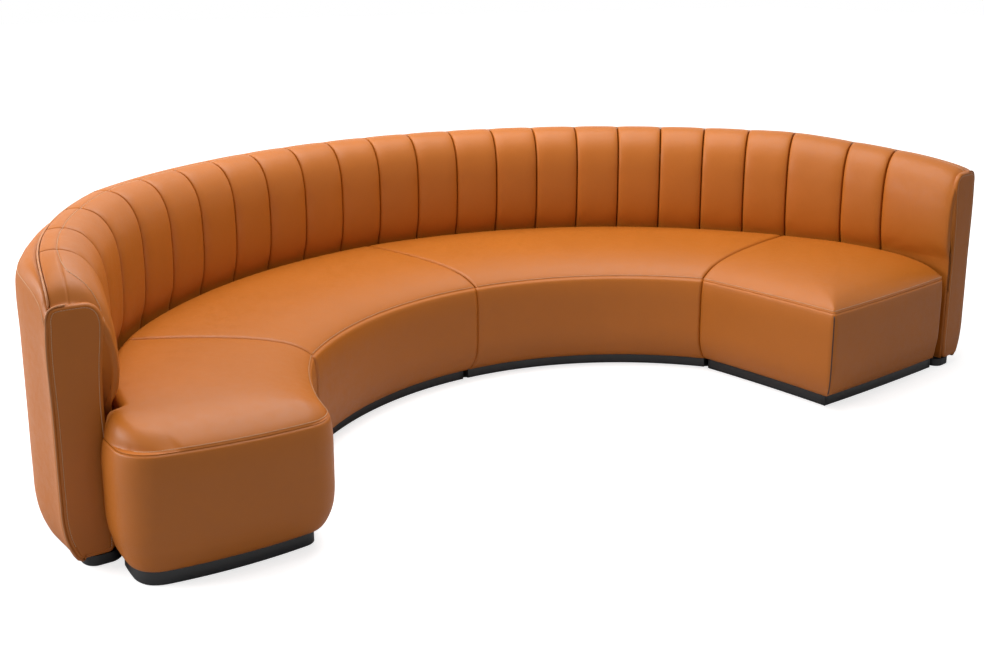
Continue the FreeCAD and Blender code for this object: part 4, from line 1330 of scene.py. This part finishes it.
def woven(name, colour, threads, roughness):
    """Cloth material whose threads cross along X and Y."""
    material = grained(name, colour, pore_size=600, drift=0.2, bump=0.4)
    nodes, links = material.node_tree.nodes, material.node_tree.links
    weave = add_node(material.node_tree, "Group", {"Threads": threads}, node_tree=WEAVE)
    links.new(weave.outputs["Shade"], nodes["Mix"].inputs["B"])
    links.new(weave.outputs["Relief"], nodes["Bump"].inputs["Height"])
    gloss = nodes["Principled BSDF"].inputs["Roughness"]
    links.remove(gloss.links[0])
    gloss.default_value = roughness
    return material


def plywood():
    """Birch plywood: pale layers that alternate through its thickness, and a long grain."""
    material = grained("birch plywood", (0.62, 0.43, 0.24), pore_size=60, drift=0.3, bump=0.25)
    tree = material.node_tree
    spot = add_node(tree, "TexCoord").outputs["Object"]
    stretch = add_node(tree, "Mapping", {"Vector": spot, "Scale": (6, 6, 160)})
    layers = add_node(tree, "TexNoise", {"Vector": stretch.outputs["Vector"], "Scale": 2.0, "Detail": 4})
    shade = add_node(tree, "MapRange", {"Value": layers.outputs["Fac"], "From Min": 0.3, "From Max": 0.7,
                                        "To Min": 0.68})
    tree.links.new(shade.outputs["Result"], tree.nodes["Mix"].inputs["B"])
    return material


# The end of a node's name tells its finish
FINISHES = {
    "frame": plywood(),
    "foam": grained("seat foam", (0.72, 0.64, 0.44), pore_size=260, drift=0.25, bump=0.9,
                    **{"Specular IOR Level": 0.1}),
    "webbing": woven("jute webbing", (0.36, 0.26, 0.15), threads=120, roughness=0.85),
    "dust_cover": woven("black lining cloth", (0.03, 0.03, 0.032), threads=300, roughness=0.9),
    "glides": grained("dark nylon", (0.03, 0.03, 0.03), pore_size=500, drift=0.3, bump=0.15),
    "hooks": grained("zinc plated steel", (0.55, 0.56, 0.57), pore_size=700, drift=0.25, bump=0.10,
                     Metallic=1.0),
}
FINISHES["receivers"] = FINISHES["bolts"] = FINISHES["hooks"]
finished = 0
for name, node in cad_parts.items():
    for ending, material in FINISHES.items():
        if name.endswith("_" + ending):
            node.data.materials.clear()
            node.data.materials.append(material)
            finished += 1
print("CAD nodes with a finish of their own:", finished)

# %% [markdown]
# ## Floor and light
# The photograph has a white surround, a broad light from above and a stronger one from the left. The
# floor is white and keeps the shadow under the sofa. What the camera sees past the floor is white too.

# %% Floor, lamps and world
WHITE = (1, 1, 1, 1)
FLOOR_SIZE = 60
FLOOR_COLOUR = (0.6, 0.6, 0.6, 1)
FLOOR_ROUGHNESS = 0.9
# The glow of the floor, and the distances over which it rises from there to full white
FLOOR_GLOW = 0.72
GLOW_REACH = (1.5, 4.0)
SURROUND_LIGHT = 0.25


def lay_floor():
    """White floor that glows for the camera, less so under the sofa."""
    bpy.ops.object.select_all(action="DESELECT")
    bpy.ops.mesh.primitive_plane_add(size=FLOOR_SIZE, location=(0, 0, 0))
    floor = bpy.context.object
    floor.name = "floor"
    white = bpy.data.materials.new("white floor")
    white.use_nodes = True
    tree = white.node_tree
    seen = add_node(tree, "LightPath").outputs["Is Camera Ray"]
    spot = add_node(tree, "TexCoord").outputs["Object"]
    far = add_node(tree, "VectorMath", {0: spot}, operation="LENGTH")
    level = add_node(tree, "MapRange", {"Value": far.outputs["Value"], "From Min": GLOW_REACH[0],
                                        "From Max": GLOW_REACH[1], "To Min": FLOOR_GLOW})
    glow = add_node(tree, "Math", {0: seen, 1: level.outputs["Result"]}, operation="MULTIPLY")
    shader = tree.nodes["Principled BSDF"]
    shader.inputs["Base Color"].default_value = FLOOR_COLOUR
    shader.inputs["Roughness"].default_value = FLOOR_ROUGHNESS
    shader.inputs["Emission Color"].default_value = WHITE
    tree.links.new(glow.outputs[0], shader.inputs["Emission Strength"])
    floor.data.materials.append(white)


def surround():
    """White world, which lights the sofa less than the camera sees of it."""
    world = bpy.data.worlds.new("surround")
    scene.world = world
    world.use_nodes = True
    tree = world.node_tree
    rays = add_node(tree, "LightPath").outputs
    seen = rays["Is Camera Ray"]
    for kind in ("Is Glossy Ray", "Is Transmission Ray"):
        seen = add_node(tree, "Math", {0: seen, 1: rays[kind]}, operation="MAXIMUM").outputs[0]
    level = add_node(tree, "MapRange", {"Value": seen, "To Min": SURROUND_LIGHT})
    back = tree.nodes["Background"]
    back.inputs["Color"].default_value = WHITE
    tree.links.new(level.outputs["Result"], back.inputs["Strength"])


def lamp(name, spot, aim, size, power):
    """Square area lamp at a spot, turned to an aim."""
    bpy.ops.object.select_all(action="DESELECT")
    way = np.subtract(aim, spot)
    turn = math.atan2(way[1], way[0])
    tilt = math.acos(-way[2] / np.linalg.norm(way))
    bpy.ops.object.light_add(type="AREA", location=spot, rotation=(tilt, 0, turn - math.pi / 2))
    light = bpy.context.object
    light.name = name
    light.data.shape = "SQUARE"
    light.data.size = size
    light.data.energy = power


lay_floor()
surround()
lamp("overhead", (-0.2, 0.2, 3.4), aim=(0, 0.1, 0.4), size=3.2, power=145)
lamp("left key", (-4.6, 0.9, 2.0), aim=(0, 0, 0.5), size=2.0, power=130)
